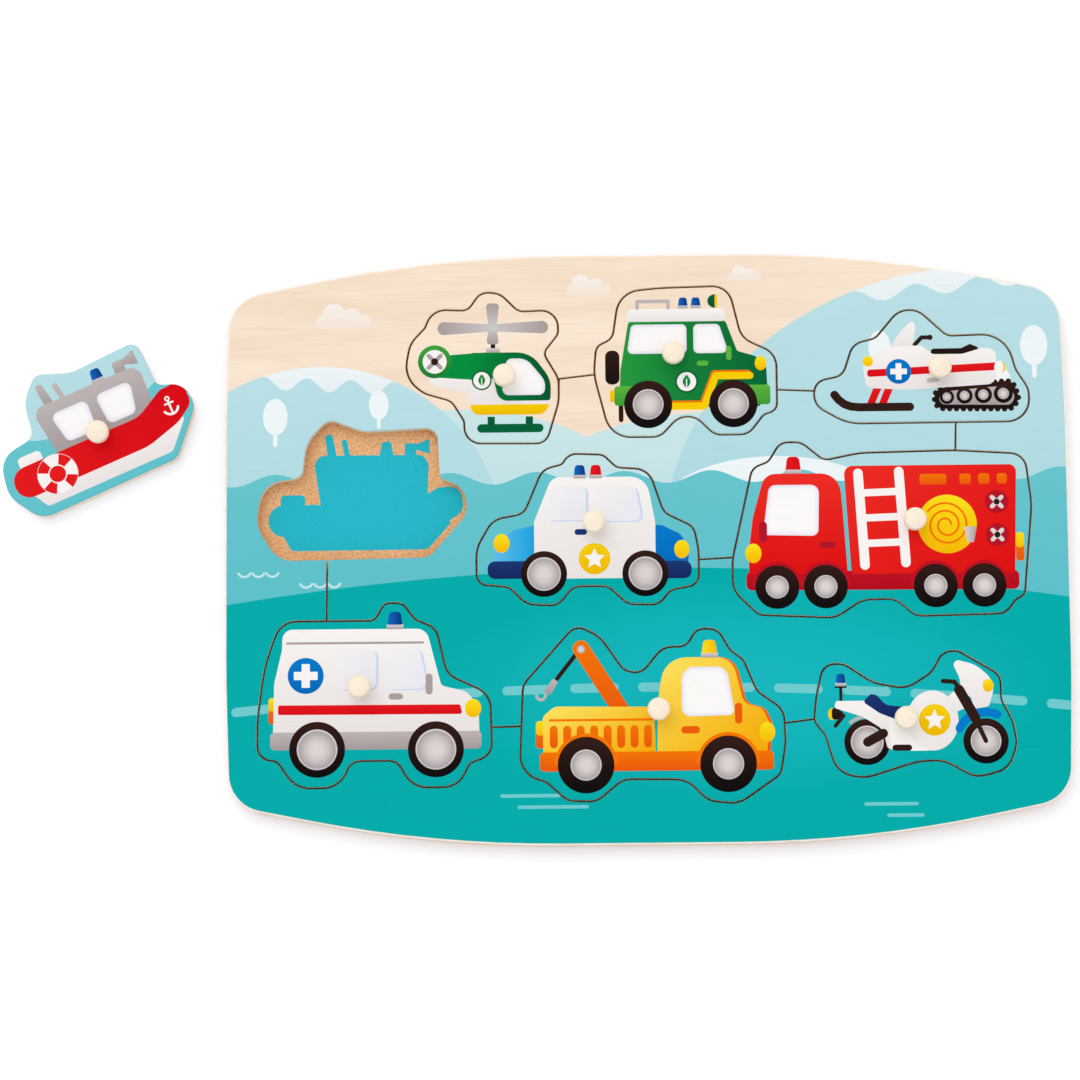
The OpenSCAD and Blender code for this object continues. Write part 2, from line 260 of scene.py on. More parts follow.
@dataclass
class Patch:
    """One printed area: its outline, its ink, and the way that the ink runs over it."""

    outline: Outline
    ink: Ink
    blend: Blend = Blend.DOWN

    def guides(self) -> list[Outline]:
        """Loops inside the outline that carry a run of colour that isn't straight.

        Returns:
            The loops, or none where the colour runs straight.
        """
        if self.blend is Blend.ROUND:
            middle = (self.outline.min(0) + self.outline.max(0)) / 2
            return [middle + (self.outline - middle) * share for share in ROUND_GUIDES]
        if self.blend is Blend.RIM:
            inward = -mitres(self.outline) * math.copysign(GLASS_RIM, signed_area(self.outline))
            return [self.outline + inward * share for share in RIM_GUIDES]
        return []

    def far_share(self, at: np.ndarray) -> np.ndarray:
        """Share of the far colour at points: their height, width, slant, distance from the middle or from the
        outline, as a share of the patch's own.

        Args:
            at: places, in an array of any shape.

        Returns:
            A share for each place, 0 at the near colour.
        """
        low, high = self.outline.min(0), self.outline.max(0)
        across, up = np.moveaxis((at - low) / (high - low), -1, 0)
        if self.blend is Blend.DOWN:
            return 1 - up
        if self.blend is Blend.ACROSS:
            return across
        if self.blend is Blend.SLANT:
            return (across + 1 - up) / 2
        if self.blend is Blend.ROUND:
            return np.hypot(2 * across - 1, 2 * up - 1) ** 2
        if self.blend is Blend.RIM:
            return np.clip(1 - distance_to(self.outline, at) / GLASS_RIM, 0, 1) ** 2
        return np.zeros(at.shape[:-1])

    def colour_at(self, at: np.ndarray) -> np.ndarray:
        """Linear colour and cover of the ink at points.

        Args:
            at: places, in an array of any shape.

        Returns:
            Red, green, blue and cover for each place.
        """
        far = np.clip(self.far_share(at), 0, 1)[..., None]
        colour = linear(np.array(self.ink.near) * (1 - far) + np.array(self.ink.far) * far)
        return np.concatenate([colour, np.full((*at.shape[:-1], 1), self.ink.cover)], -1)

    def moved(self, step: np.ndarray) -> "Patch":
        """The same patch at another place."""
        return Patch(self.outline + step, self.ink, self.blend)


WHITE = Ink((249, 245, 243), (234, 228, 227))
GLASS = Ink((252, 250, 250), (228, 226, 238))
FROST = Ink((246, 242, 241), (233, 233, 243))
PANE_RIM = Ink((202, 215, 243), (202, 215, 243))
SILVER = Ink((224, 217, 216), (168, 159, 159))
HUB_RIM = Ink((216, 210, 212), (196, 189, 192))
GREY = Ink((190, 181, 181), (165, 155, 155))
STEEL = Ink((172, 160, 159), (162, 150, 149))
BLADE = Ink((168, 156, 155), (206, 200, 200))
TYRE = Ink((52, 27, 22), (9, 6, 6))
BLACK = Ink((46, 26, 21), (20, 13, 12))
GREEN = Ink((0, 142, 62), (0, 120, 58))
COWL = Ink((0, 142, 62), (0, 84, 46))
SHELL = Ink((36, 152, 60), (0, 100, 52))
PINE = Ink((0, 96, 56), (0, 84, 50))
LEAF = Ink((92, 178, 62), (60, 155, 52))
MOSS = Ink((64, 164, 58), (24, 124, 50))
GOLD = Ink((248, 206, 0), (239, 186, 0))
LAMP = Ink((252, 226, 26), (246, 186, 0))
YELLOW = Ink((255, 230, 100), (244, 168, 0))
ORANGE = Ink((244, 118, 0), (234, 88, 8))
RUST = Ink((236, 92, 6), (228, 78, 10))
RED = Ink((228, 24, 28), (216, 6, 20))
FLAME = Ink((238, 44, 36), (222, 14, 14))
CRIMSON = Ink((192, 14, 32), (178, 8, 28))
MAROON = Ink((176, 20, 40), (166, 16, 36))
BLUE = Ink((0, 122, 204), (0, 104, 186))
SKY = Ink((96, 190, 236), (20, 158, 222))
NAVY = Ink((24, 54, 114), (20, 36, 94))
LAMP_BLUE = Ink((16, 104, 192), (0, 52, 124))
CLOUD = Ink((249, 244, 241), (246, 231, 216), 0.9)
HILL = Ink((188, 225, 232), (160, 212, 220))
FAR_HILL = Ink((204, 231, 234), (176, 219, 226))
SNOW = Ink((240, 247, 249), (230, 240, 243))
SEA = Ink((104, 197, 206), (64, 180, 196))
GROUND = Ink((0, 172, 171), (0, 172, 171))
ROAD = Ink((20, 183, 190), (0, 172, 171))
FOAM = Ink((196, 232, 234), (188, 228, 231))
DASH = Ink((112, 204, 208), (112, 204, 208))
SHADOW_PRINT = Ink((0, 184, 204), (0, 184, 204))


@dataclass
class Pen:
    """Gathers the patches of a print, each one on top of those before it."""

    patches: list[Patch] = field(default_factory=list)

    def fill(self, outline: Outline, ink: Ink, blend: Blend = Blend.DOWN) -> None:
        """Adds one patch."""
        self.patches.append(Patch(outline, ink, blend))

    def slab(self, corners: Sequence[Corner], ink: Ink, fillet: float = 1.5,
             blend: Blend = Blend.DOWN) -> None:
        """Polygon with rounded corners."""
        self.fill(rounded(corners, fillet), ink, blend)

    def box(self, x0: float, y0: float, x1: float, y1: float, ink: Ink, fillet: float = 1.0,
            blend: Blend = Blend.DOWN) -> None:
        """Upright rectangle with rounded corners."""
        self.slab([(x0, y0), (x1, y0), (x1, y1), (x0, y1)], ink, fillet, blend)

    def disc(self, x: float, y: float, rx: float, ink: Ink, ry: float = 0.0,
             blend: Blend = Blend.FLAT) -> None:
        """Disc, or an ellipse if its height is given."""
        self.fill(ellipse(x, y, rx, ry or rx), ink, blend)

    def bar(self, x0: float, y0: float, x1: float, y1: float, width: float, ink: Ink,
            blend: Blend = Blend.FLAT) -> None:
        """Straight stroke with round ends."""
        self.fill(capsule(x0, y0, x1, y1, width), ink, blend)

    def trail(self, path: Sequence[Sequence[float]], width: float, ink: Ink) -> None:
        """Bent stroke of straight ones with round ends."""
        for (x0, y0), (x1, y1) in zip(path, path[1:]):
            self.bar(x0, y0, x1, y1, width, ink)

    def arch(self, x: float, y: float, inner: float, outer: float, start: float, stop: float,
             ink: Ink) -> None:
        """Part of a ring: one arc out and another back inside it."""
        self.fill(np.concatenate([
            arc(x, y, outer, outer, start, stop), arc(x, y, inner, inner, stop, start)]), ink, Blend.FLAT)

    def window(self, corners: Sequence[Corner], fillet: float = 2.2) -> None:
        """Pane of white glass with a soft rim."""
        self.slab(corners, GLASS, fillet, Blend.RIM)

    def pane(self, corners: Sequence[Corner], fillet: float) -> None:
        """Pane whose glass shows a blue edge on its lower right side.

        Args:
            corners: x, y and any radius of each corner.
            fillet: radius of the other corners.
        """
        outline = rounded(corners, fillet)
        self.fill(outline, PANE_RIM, Blend.FLAT)
        self.fill(outline + PANE_STEP, FROST, Blend.SLANT)

    def coil(self, x: float, y: float, inner: float, outer: float, turns: float, width: float,
             ink: Ink) -> None:
        """Stroke whose radius grows evenly with its angle.

        Args:
            x: its middle, across.
            y: its middle, up.
            inner: radius at its start.
            outer: radius at its end.
            turns: how often it goes round.
            width: its width.
            ink: its ink.
        """
        share = np.linspace(0, 1, int(TURN_STEPS * turns))[:, None]
        angle = 2 * np.pi * turns * share
        along = np.concatenate([np.cos(angle), np.sin(angle)], 1)
        radius = inner + (outer - inner) * share
        edges = [along * (radius + width / 2), (along * (radius - width / 2))[::-1]]
        self.fill(np.concatenate(edges) + [x, y], ink, Blend.FLAT)

    def spokes(self, x: float, y: float, reach: float, width: float, ink: Ink) -> None:
        """Four spokes that lie crosswise.

        Args:
            x: its middle, across.
            y: its middle, up.
            reach: length of a spoke.
            width: its width.
            ink: its ink.
        """
        step = reach * math.sqrt(0.5)
        self.bar(x - step, y - step, x + step, y + step, width, ink)
        self.bar(x - step, y + step, x + step, y - step, width, ink)

    def wheel(self, x: float, y: float, tyre: float, hub: float) -> None:
        """Tyre with a silver hub that is bright in the middle.

        Args:
            x: its middle, across.
            y: its middle, up.
            tyre: radius of the tyre.
            hub: radius of the hub.
        """
        self.disc(x, y, tyre, TYRE, blend=Blend.DOWN)
        self.disc(x, y, hub, HUB_RIM, blend=Blend.DOWN)
        self.disc(x, y, HUB_FACE * hub, SILVER, blend=Blend.ROUND)

    def headlamp(self, x: float, y: float, rx: float, ry: float) -> None:
        """Yellow lamp."""
        self.disc(x, y, rx, LAMP, ry, Blend.DOWN)

    def tail_lamp(self, x0: float, y0: float, x1: float, y1: float, split: float, fillet: float) -> None:
        """Lamp that is orange below the split and yellow above it."""
        self.box(x0, y0, x1, y1, ORANGE, fillet)
        self.box(x0, split, x1, y1, LAMP, fillet)

    def beacon(self, x: float, y: float, width: float, ink: Ink, height: float = 0.0) -> None:
        """Warning light: a grey foot and a rounded cap of coloured glass.

        Args:
            x: its middle, across.
            y: its foot.
            width: its width.
            ink: colour of the glass.
            height: its height, or 0 for the usual one.
        """
        tall = height or 1.05 * width
        half, foot = width / 2, y + 0.26 * tall
        self.box(x - half, y, x + half, foot + 0.3, SILVER, 0.3)
        low, high, fillet = 0.9 * half, 0.7 * half, 0.5 * half
        self.slab([(x - low, foot, 0.2), (x + low, foot, 0.2), (x + high, y + tall, fillet),
            (x - high, y + tall, fillet)], ink, blend=Blend.ACROSS)

    def star(self, x: float, y: float, outer: float, ink: Ink) -> None:
        """Five-pointed star: ten corners at two radii in turn.

        Args:
            x: its middle, across.
            y: its middle, up.
            outer: radius of its points.
            ink: its ink.
        """
        corner = np.arange(10)
        angle = np.radians(90 + 36 * corner)
        radius = np.where(corner % 2 == 0, outer, STAR_WAIST * outer)
        self.fill(np.column_stack([x + radius * np.cos(angle), y + radius * np.sin(angle)]), ink, Blend.FLAT)

    def medal(self, x: float, y: float, radius: float) -> None:
        """Gold disc with a white star.

        Args:
            x: its middle, across.
            y: its middle, up.
            radius: its radius.
        """
        self.disc(x, y, radius, GOLD, blend=Blend.DOWN)
        self.disc(x, y, 0.86 * radius, LAMP, blend=Blend.DOWN)
        self.disc(x, y, 0.8 * radius, GOLD, blend=Blend.DOWN)
        self.star(x, y, 0.7 * radius, WHITE)

    def plus(self, x: float, y: float, radius: float) -> None:
        """Blue disc with a white plus sign.

        Args:
            x: its middle, across.
            y: its middle, up.
            radius: its radius.
        """
        arm, wide = 0.66 * radius, 0.46 * radius
        self.disc(x, y, radius, BLUE, blend=Blend.DOWN)
        self.box(x - arm, y - wide / 2, x + arm, y + wide / 2, WHITE, 0.2, Blend.FLAT)
        self.box(x - wide / 2, y - arm, x + wide / 2, y + arm, WHITE, 0.2, Blend.FLAT)

    def leaf_badge(self, x: float, y: float, radius: float) -> None:
        """White disc with a green rim and a leaf, whose two edges are half sine waves.

        Args:
            x: its middle, across.
            y: its middle, up.
            radius: its radius.
        """
        self.disc(x, y, radius, PINE)
        self.disc(x, y, 0.84 * radius, WHITE)
        rise = np.linspace(-1, 1, 17)
        bulge = 0.34 * radius * np.cos(rise * np.pi / 2)
        height = y + 0.62 * radius * rise
        self.fill(np.concatenate([np.column_stack([x + bulge, height]),
            np.column_stack([x - bulge, height])[-2:0:-1]]), GREEN, Blend.DOWN)
        self.bar(x, y - 0.72 * radius, x, y + 0.2 * radius, 0.1 * radius, WHITE)

    def anchor(self, x: float, y: float, size: float, ink: Ink, hole: Ink) -> None:
        """Anchor: a ring, a shank, a stock and a curved crown.

        Args:
            x: its middle, across.
            y: its middle, up.
            size: half of its height.
            ink: its ink.
            hole: ink inside the ring.
        """
        self.disc(x, y + 0.74 * size, 0.26 * size, ink)
        self.disc(x, y + 0.74 * size, 0.12 * size, hole)
        self.bar(x, y - 0.8 * size, x, y + 0.5 * size, 0.2 * size, ink)
        self.bar(x - 0.4 * size, y + 0.28 * size, x + 0.4 * size, y + 0.28 * size, 0.18 * size, ink)
        self.arch(x, y - 0.08 * size, 0.62 * size, 0.84 * size, 195, 345, ink)


# Sheets and plates


def loops_round(triangles: np.ndarray) -> list[np.ndarray]:
    """Closed loops round a sheet of triangles, with the sheet on their left.

    An edge that only one triangle runs along is on the border. Each border point looks up the point that
    follows it, then that point's follower, twice as far each time, until it knows the lowest number in
    its loop and how many steps away that is.

    Args:
        triangles: three point numbers each, counter-clockwise.

    Returns:
        Point numbers of each loop, in order.
    """
    edges = np.concatenate([triangles[:, [0, 1]], triangles[:, [1, 2]], triangles[:, [2, 0]]])
    count = int(triangles.max()) + 1
    border = edges[~np.isin(edges @ [count, 1], edges @ [1, count])]
    numbers = np.arange(count)
    follower = numbers.copy()
    follower[border[:, 0]] = border[:, 1]
    lowest, ahead = numbers, follower
    for _ in range(count.bit_length()):
        lowest, ahead = np.minimum(lowest, lowest[ahead]), ahead[ahead]
    steps, ahead = (lowest != numbers).astype(int), np.where(lowest == numbers, numbers, follower)
    for _ in range(count.bit_length()):
        steps, ahead = steps + steps[ahead], ahead[ahead]
    on_border = np.unique(border)
    loops = [on_border[lowest[on_border] == number] for number in np.unique(lowest[on_border])]
    return [loop[np.argsort(-steps[loop] % len(loop))] for loop in loops]


def top_loops(node: str) -> list[Outline]:
    """Loops round a CAD node's highest flat face, in millimetres, from a merged copy of its triangles.

    Args:
        node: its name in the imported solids.

    Returns:
        The loop round the face and those of its holes.
    """
    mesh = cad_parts[node].data
    places, corners = np.empty(3 * len(mesh.vertices)), np.empty(len(mesh.loops), int)
    mesh.vertices.foreach_get("co", places)
    mesh.loops.foreach_get("vertex_index", corners)
    points, merged = np.unique(np.round(places.reshape(-1, 3) / MM, 3), axis=0, return_inverse=True)
    triangles = merged.ravel()[corners].reshape(-1, 3)
    highest = points[:, 2].max() - WELD
    triangles = triangles[(points[triangles][..., 2] > highest).all(1)]
    return [points[loop][:, :2] for loop in loops_round(triangles)]


def cut(loops: Sequence[Outline],
        snap: float = WELD) -> tuple[np.ndarray, np.ndarray, np.ndarray, np.ndarray]:
    """Cuts the space inside loops into triangles that keep to one side of each of them.

    Args:
        loops: closed loops, which may cross.
        snap: distance at which points are merged.

    Returns:
        Points, counter-clockwise triangles, which loops each triangle is inside of, and the number that each
        point had among those of the loops.
    """
    turned = [loop if signed_area(loop) > 0 else loop[::-1] for loop in loops]
    ends = np.cumsum([len(loop) for loop in loops])
    numbers = [np.arange(end - len(loop), end) for loop, end in zip(loops, ends)]
    numbers = np.concatenate([n if signed_area(loop) > 0 else n[::-1] for n, loop in zip(numbers, loops)])
    faces = [list(range(end - len(loop), end)) for loop, end in zip(loops, ends)]
    points, _, triangles, sources, _, holders = delaunay_2d_cdt(
        np.concatenate(turned).tolist(), [], faces, 1, snap)
    inside = np.zeros((len(triangles), len(loops)), bool)
    rows = np.repeat(np.arange(len(triangles)), [len(held) for held in holders])
    inside[rows, np.concatenate(holders).astype(int)] = True
    source = np.array([numbers[ids[0]] if ids else -1 for ids in sources])
    return np.array([tuple(p) for p in points]), np.array(triangles), inside, source


def flatten(borders: Sequence[Outline],
            patches: Sequence[Patch]) -> tuple[np.ndarray, np.ndarray, np.ndarray]:
    """Cuts a flat sheet into triangles along its borders and along every patch.

    Args:
        borders: the loop round the sheet and those of its holes.
        patches: the print, from the lowest to the topmost.

    Returns:
        Points, triangles, and the ink's linear colour and cover at each triangle's corners.
    """
    edges = np.concatenate(borders)
    low, high = edges.min(0), edges.max(0)
    near = [p for p in patches if (p.outline.min(0) < high).all() and (p.outline.max(0) > low).all()]
    guides = [loop for patch in near for loop in patch.guides()]
    points, triangles, inside, _ = cut([*borders, *(patch.outline for patch in near), *guides], SNAP)
    kept = inside[:, :len(borders)].sum(1) == 1
    triangles, inside = triangles[kept], inside[kept]
    inks = np.zeros((len(triangles), 3, 4))
    for number, patch in enumerate(near, len(borders)):
        rows = inside[:, number]
        inks[rows] = patch.colour_at(points[triangles[rows]])
    used, triangles = np.unique(triangles, return_inverse=True)
    return points[used], triangles.reshape(-1, 3), inks


class Face(Enum):
    """The kinds of surface on a plate, by the number of their finish."""

    TOP = 0
    EASED = 1
    WALL = 2
    BACK = 3
    WRAPPED = 4


Step = tuple[float, float, Face]


@dataclass
class Plate:
    """A flat sheet whose borders are carried down as walls, gathered as mesh arrays.

    Attributes:
        points: arrays of places in the sheet, height from the plate's underside.
        faces: arrays of point numbers, with their kind and the ink at their corners.
    """

    points: list[np.ndarray] = field(default_factory=list)
    faces: list[tuple[np.ndarray, Face, np.ndarray]] = field(default_factory=list)

    def add(self, points: np.ndarray) -> int:
        """Adds points and returns the number of the first one.

        Args:
            points: places, one to a row.

        Returns:
            The number of the first one.
        """
        first = sum(len(p) for p in self.points)
        self.points.append(points)
        return first

    def face(self, faces: np.ndarray, kind: Face, inks: np.ndarray | None = None) -> None:
        """Adds faces, bare of ink unless it is given."""
        self.faces.append((faces, kind, np.zeros((*faces.shape, 4)) if inks is None else inks))

    def border_inks(self, loop: np.ndarray) -> np.ndarray:
        """Ink along a loop round the top: at the start and the end of each of its edges, looked up in the one
        triangle that runs along it.

        Args:
            loop: point numbers of the loop.

        Returns:
            Two inks for each edge.
        """
        triangles, _, inks = self.faces[0]
        count = int(triangles.max()) + 1
        edges = (triangles * count + np.roll(triangles, -1, 1)).ravel()
        order = np.argsort(edges)
        row, corner = divmod(order[np.searchsorted(edges, loop * count + np.roll(loop, -1), sorter=order)], 3)
        return np.stack([inks[row, corner], inks[row, (corner + 1) % 3]], 1)

    def cover(self, borders: Sequence[Outline], patches: Sequence[Patch], height: float) -> list[np.ndarray]:
        """Adds the printed top.

        Args:
            borders: the loop round the top, then those of its holes.
            patches: the print.
            height: height of the top.

        Returns:
            Point numbers of the loops round the top, each with the top on its left.
        """
        flat, triangles, inks = flatten(borders, patches)
        self.add(np.column_stack([flat, np.full(len(flat), height)]))
        self.face(triangles, Face.TOP, inks)
        return loops_round(triangles)

    def carry(self, loop: np.ndarray, profile: Sequence[Step]) -> np.ndarray:
        """Carries a profile round a loop: a grid of one row of points for each of its steps.

        Args:
            loop: point numbers of the loop.
            profile: distance out from the loop, height, and the kind of surface that leads there.

        Returns:
            Point numbers of the last row.
        """
        start = np.concatenate(self.points)[loop]
        outward = mitres(start[:, :2])
        inks = self.border_inks(loop)[:, [1, 0, 0, 1]]
        for out, height, kind in profile:
            first = self.add(np.column_stack([start[:, :2] + out * outward, np.full(len(loop), height)]))
            row = np.arange(first, first + len(loop))
            quads = np.column_stack([np.roll(loop, -1), loop, row, np.roll(row, -1)])
            self.face(quads, kind, inks if kind is Face.WRAPPED else None)
            loop = row
        return loop

    def close(self, loops: Sequence[np.ndarray], kind: Face, upward: bool = False) -> None:
        """Closes the space inside loops by triangles, the inner loops left open as holes.

        Args:
            loops: point numbers of each loop.
            kind: the kind of surface.
            upward: whether it faces up.
        """
        numbers = np.concatenate(loops)
        places = np.concatenate(self.points)
        _, triangles, inside, source = cut([places[loop][:, :2] for loop in loops])
        triangles = numbers[source[triangles[inside.sum(1) == 1]]]
        self.face(triangles if upward else triangles[:, ::-1], kind)

    def make(self, name: str, finishes: Sequence[Material], place: Matrix) -> Piece:
        """Puts the arrays into a mesh, with the ink and the place in the sheet as its layers.

        Args:
            name: the piece's name.
            finishes: a material for each kind of surface.
            place: moves the sheet, in metres, to where the plate is kept.

        Returns:
            The piece.
        """
        sheet = np.concatenate(self.points) * MM
        moved = sheet @ np.array(place.to_3x3()).T + np.array(place.translation)
        mesh = bpy.data.meshes.new(name)
        mesh.from_pydata(moved, [], [face for faces, _, _ in self.faces for face in faces.tolist()])
        kinds = np.concatenate([np.full(len(faces), kind.value) for faces, kind, _ in self.faces])
        mesh.polygons.foreach_set("material_index", kinds)
        mesh.polygons.foreach_set("use_smooth", ~np.isin(kinds, [Face.TOP.value, Face.BACK.value]))
        ink = np.concatenate([inks.ravel() for _, _, inks in self.faces]).astype(np.float32)
        mesh.attributes.new(INK_LAYER, "FLOAT_COLOR", "CORNER").data.foreach_set("color", ink)
        mesh.attributes.new(SHEET_LAYER, "FLOAT_VECTOR", "POINT").data.foreach_set(
            "vector", sheet.astype(np.float32).ravel())
        for finish in finishes:
            mesh.materials.append(finish)
        return put(name, mesh)


def put(name: str, mesh: bpy.types.Mesh) -> Piece:
    """Links a mesh into the scene as an object at the origin.

    Args:
        name: its name.
        mesh: its mesh, in metres.

    Returns:
        The object.
    """
    mesh.update()
    piece = bpy.data.objects.new(name, mesh)
    bpy.context.scene.collection.objects.link(piece)
    return piece


def quarter(radius: float, top: float, wrapped: int = 0) -> list[Step]:
    """Profile of a quarter round that leaves a flat top: out by the sine and down by one less the cosine.
    The print goes on over the first steps of it, as many as are wrapped."""
    kinds = [Face.WRAPPED] * wrapped + [Face.EASED] * (EASE_STEPS - wrapped)
    return [(radius * math.sin(a), top - radius * (1 - math.cos(a)), kind) for a, kind in zip(QUARTER, kinds)]


def quarter_under(radius: float, bottom: float, out: float) -> list[Step]:
    """Profile of a quarter round from a wall into a flat underside."""
    return [(out - radius * (1 - math.cos(a)), bottom + radius * (1 - math.sin(a)), Face.EASED)
        for a in QUARTER]


# Finishes


class Graph:
    """Short ways of adding and joining the nodes of a shader."""

    def __init__(self, tree: bpy.types.NodeTree) -> None:
        """Starts from an empty tree."""
        self.tree = tree
        tree.nodes.clear()

    @classmethod
    def of_material(cls, name: str) -> tuple["Graph", Material]:
        """A new material and the graph of its nodes.

        Args:
            name: its name.

        Returns:
            The graph and the material.
        """
        material = bpy.data.materials.new(name)
        material.use_nodes = True
        return cls(material.node_tree), material

    def add(self, kind: str, inputs: dict[Any, Any], output: Any = 0, **settings: Any) -> Socket:
        """Adds a node.

        Args:
            kind: the node's type, without the leading word.
            inputs: values or sockets for its inputs, by name or number.
            output: name or number of the output that is asked for.
            settings: the node's own properties.

        Returns:
            That output.
        """
        node = self.tree.nodes.new("ShaderNode" + kind)
        for key, value in settings.items():
            setattr(node, key, value)
        for key, value in inputs.items():
            if isinstance(value, Socket):
                self.tree.links.new(value, node.inputs[key])
            else:
                node.inputs[key].default_value = value
        return node.outputs[output] if len(node.outputs) else None

    def layer(self, name: str, output: str) -> Socket:
        """Output of one of the piece's own layers."""
        return self.add("Attribute", {}, output, attribute_name=name)

    def noise(self, place: Socket, scale: Sequence[float], detail: float = 4.0,
              rough: float = 0.55) -> Socket:
        """Noise with its own number of swings to the metre along each axis."""
        mapped = self.add("Mapping", {"Vector": place, "Scale": scale})
        return self.add("TexNoise", {"Vector": mapped, "Scale": 1.0, "Detail": detail, "Roughness": rough})

    def span(self, value: Socket, low: float, high: float, to_low: float = 0.0,
             to_high: float = 1.0) -> Socket:
        """Stretches the values from low to high to another span."""
        return self.add("MapRange", {"Value": value, "From Min": low, "From Max": high, "To Min": to_low,
            "To Max": to_high})

    def mix(self, share: Any, a: Any, b: Any, blend: str = "MIX") -> Socket:
        """Mixes two colours."""
        return self.add("Mix", {0: share, 6: a, 7: b}, 2, data_type="RGBA", blend_type=blend)

    def coat(self, under: Any, colour: Colour, by: Socket, low: float, high: float,
             most: float = 1.0) -> Socket:
        """Lays a colour over another: none of it where a value is low, and the most where it is high."""
        return self.mix(self.span(by, low, high, 0.0, most), under, rgba(colour))

    def finish(self, colour: Any, roughness: Any, height: Any, depth: float, specular: float) -> None:
        """Joins up the surface.

        Args:
            colour: base colour.
            roughness: of the gloss.
            height: relief from 0 to 1.
            depth: real depth of the relief, in metres.
            specular: level of the gloss.
        """
        bump = self.add("Bump", {"Height": height, "Strength": 1.0, "Distance": depth})
        surface = self.add("BsdfPrincipled", {"Base Color": colour, "Roughness": roughness, "Normal": bump,
            "Specular IOR Level": specular})
        self.add("OutputMaterial", {"Surface": surface})


@dataclass(frozen=True)
class PrintedPly:
    """Top of the panel and the pieces: pale veneer with a fine grain, printed under a satin varnish."""

    wood: Colour = (252, 233, 213)
    grain: Colour = (238, 211, 184)
    streak: Colour = (226, 186, 152)
    specular: float = 0.025

    def material(self) -> Material:
        """The finish as a material.

        Returns:
            The material.
        """
        graph, material = Graph.of_material("printed_ply")
        place = graph.layer(SHEET_LAYER, "Vector")
        fine = graph.noise(place, (55.0, 1300.0, 300.0), 5.0, 0.6)
        broad = graph.noise(place, (9.0, 110.0, 20.0), 4.0)
        streaks = graph.noise(place, (26.0, 620.0, 150.0), 3.0, 0.7)
        pores = graph.span(graph.noise(place, (170.0, 3600.0, 900.0), 2.0), 0.62, 0.74)
        wood = graph.coat(rgba(self.wood), self.grain, broad, 0.35, 0.7, 0.6)
        wood = graph.coat(wood, self.grain, fine, 0.48, 0.72, 0.5)
        wood = graph.coat(wood, self.streak, streaks, 0.6, 0.78, 0.3)
        streaked = graph.add("HueSaturation", {"Color": graph.layer(INK_LAYER, "Color"),
            "Value": graph.span(fine, 0.3, 0.75, 1.015, 0.975)})
        printed = graph.mix(graph.layer(INK_LAYER, "Alpha"), wood, streaked)
        graph.finish(printed, graph.span(fine, 0.3, 0.7, 0.4, 0.5), graph.span(pores, 0.0, 1.0, 1.0, 0.0),
            0.00002, self.specular)
        return material


@dataclass(frozen=True)
class SandedEdgeAndPaintedLight:
    """Eased edge of the panel and the pieces, sanded back to pale wood; painted light makes it whiter."""

    # pale and dark are raised nearly to white as painted light, for edges that the lamp leaves in shade
    pale: Colour = (255, 248, 238)
    dark: Colour = (247, 226, 204)

    def material(self) -> Material:
        """The finish as a material.

        Returns:
            The material.
        """
        graph, material = Graph.of_material("sanded_edge_and_painted_light")
        place = graph.layer(SHEET_LAYER, "Vector")
        worn = graph.noise(place, (160.0, 260.0, 500.0), 5.0, 0.6)
        graph.finish(graph.coat(rgba(self.pale), self.dark, worn, 0.45, 0.75),
            graph.span(worn, 0.3, 0.7, 0.5, 0.65), worn, 0.00003, 0.12)
        return material


@dataclass(frozen=True)
class PlyWall:
    """Sawn wall of the plywood: five plies that turn the grain in turn, with thin glue lines and painted
    light.
    """

    # The two wood colours are raised towards white as painted light, for walls that the lamp leaves in shade
    long_grain_painted_lit: Colour = (255, 243, 226)
    end_grain_painted_lit: Colour = (249, 227, 200)
    glue: Colour = (212, 172, 134)
    plies: int = 5
    thickness: float = 6.0

    def material(self) -> Material:
        """The finish as a material: the height counts the plies, whose odd ones show end grain.

        Returns:
            The material.
        """
        graph, material = Graph.of_material("ply_wall")
        place = graph.layer(SHEET_LAYER, "Vector")
        height = graph.add("SeparateXYZ", {0: place}, 2)
        ply = graph.add("Math", {0: height, 1: self.plies / (self.thickness * MM)}, operation="MULTIPLY")
        odd = graph.add("Math", {0: graph.add("Math", {0: ply, 1: 2.0}, operation="MODULO"), 1: 1.0},
            operation="GREATER_THAN")
        seam = graph.add("Math", {0: ply, 1: 1.0}, operation="PINGPONG")
        fibre = graph.noise(place, (420.0, 420.0, 3000.0), 4.0, 0.6)
        pores = graph.noise(place, (2600.0, 2600.0, 2600.0), 2.0)
        wood = graph.mix(odd, rgba(self.long_grain_painted_lit), rgba(self.end_grain_painted_lit))
        wood = graph.coat(wood, self.end_grain_painted_lit, fibre, 0.45, 0.8, 0.6)
        wood = graph.coat(wood, self.glue, pores, 0.55, 0.75, 0.25)
        wood = graph.mix(graph.span(seam, 0.0, 0.07, 0.7, 0.0), wood, rgba(self.glue))
        graph.finish(wood, graph.span(fibre, 0.3, 0.7, 0.6, 0.75), fibre, 0.00006, 0.2)
        return material


@dataclass(frozen=True)
class BareVeneer:
    """Underside of the plywood: unprinted veneer."""

    pale: Colour = (238, 212, 180)
    dark: Colour = (212, 176, 138)

    def material(self) -> Material:
        """The finish as a material.

        Returns:
            The material.
        """
        graph, material = Graph.of_material("bare_veneer")
        place = graph.layer(SHEET_LAYER, "Vector")
        fine = graph.noise(place, (50.0, 1100.0, 300.0), 5.0, 0.6)
        broad = graph.noise(place, (8.0, 60.0, 20.0), 3.0)
        wood = graph.coat(rgba(self.pale), self.dark, broad, 0.35, 0.7, 0.7)
        wood = graph.coat(wood, self.dark, fine, 0.5, 0.75, 0.8)
        graph.finish(wood, graph.span(fine, 0.3, 0.7, 0.55, 0.7), fine, 0.00005, 0.2)
        return material


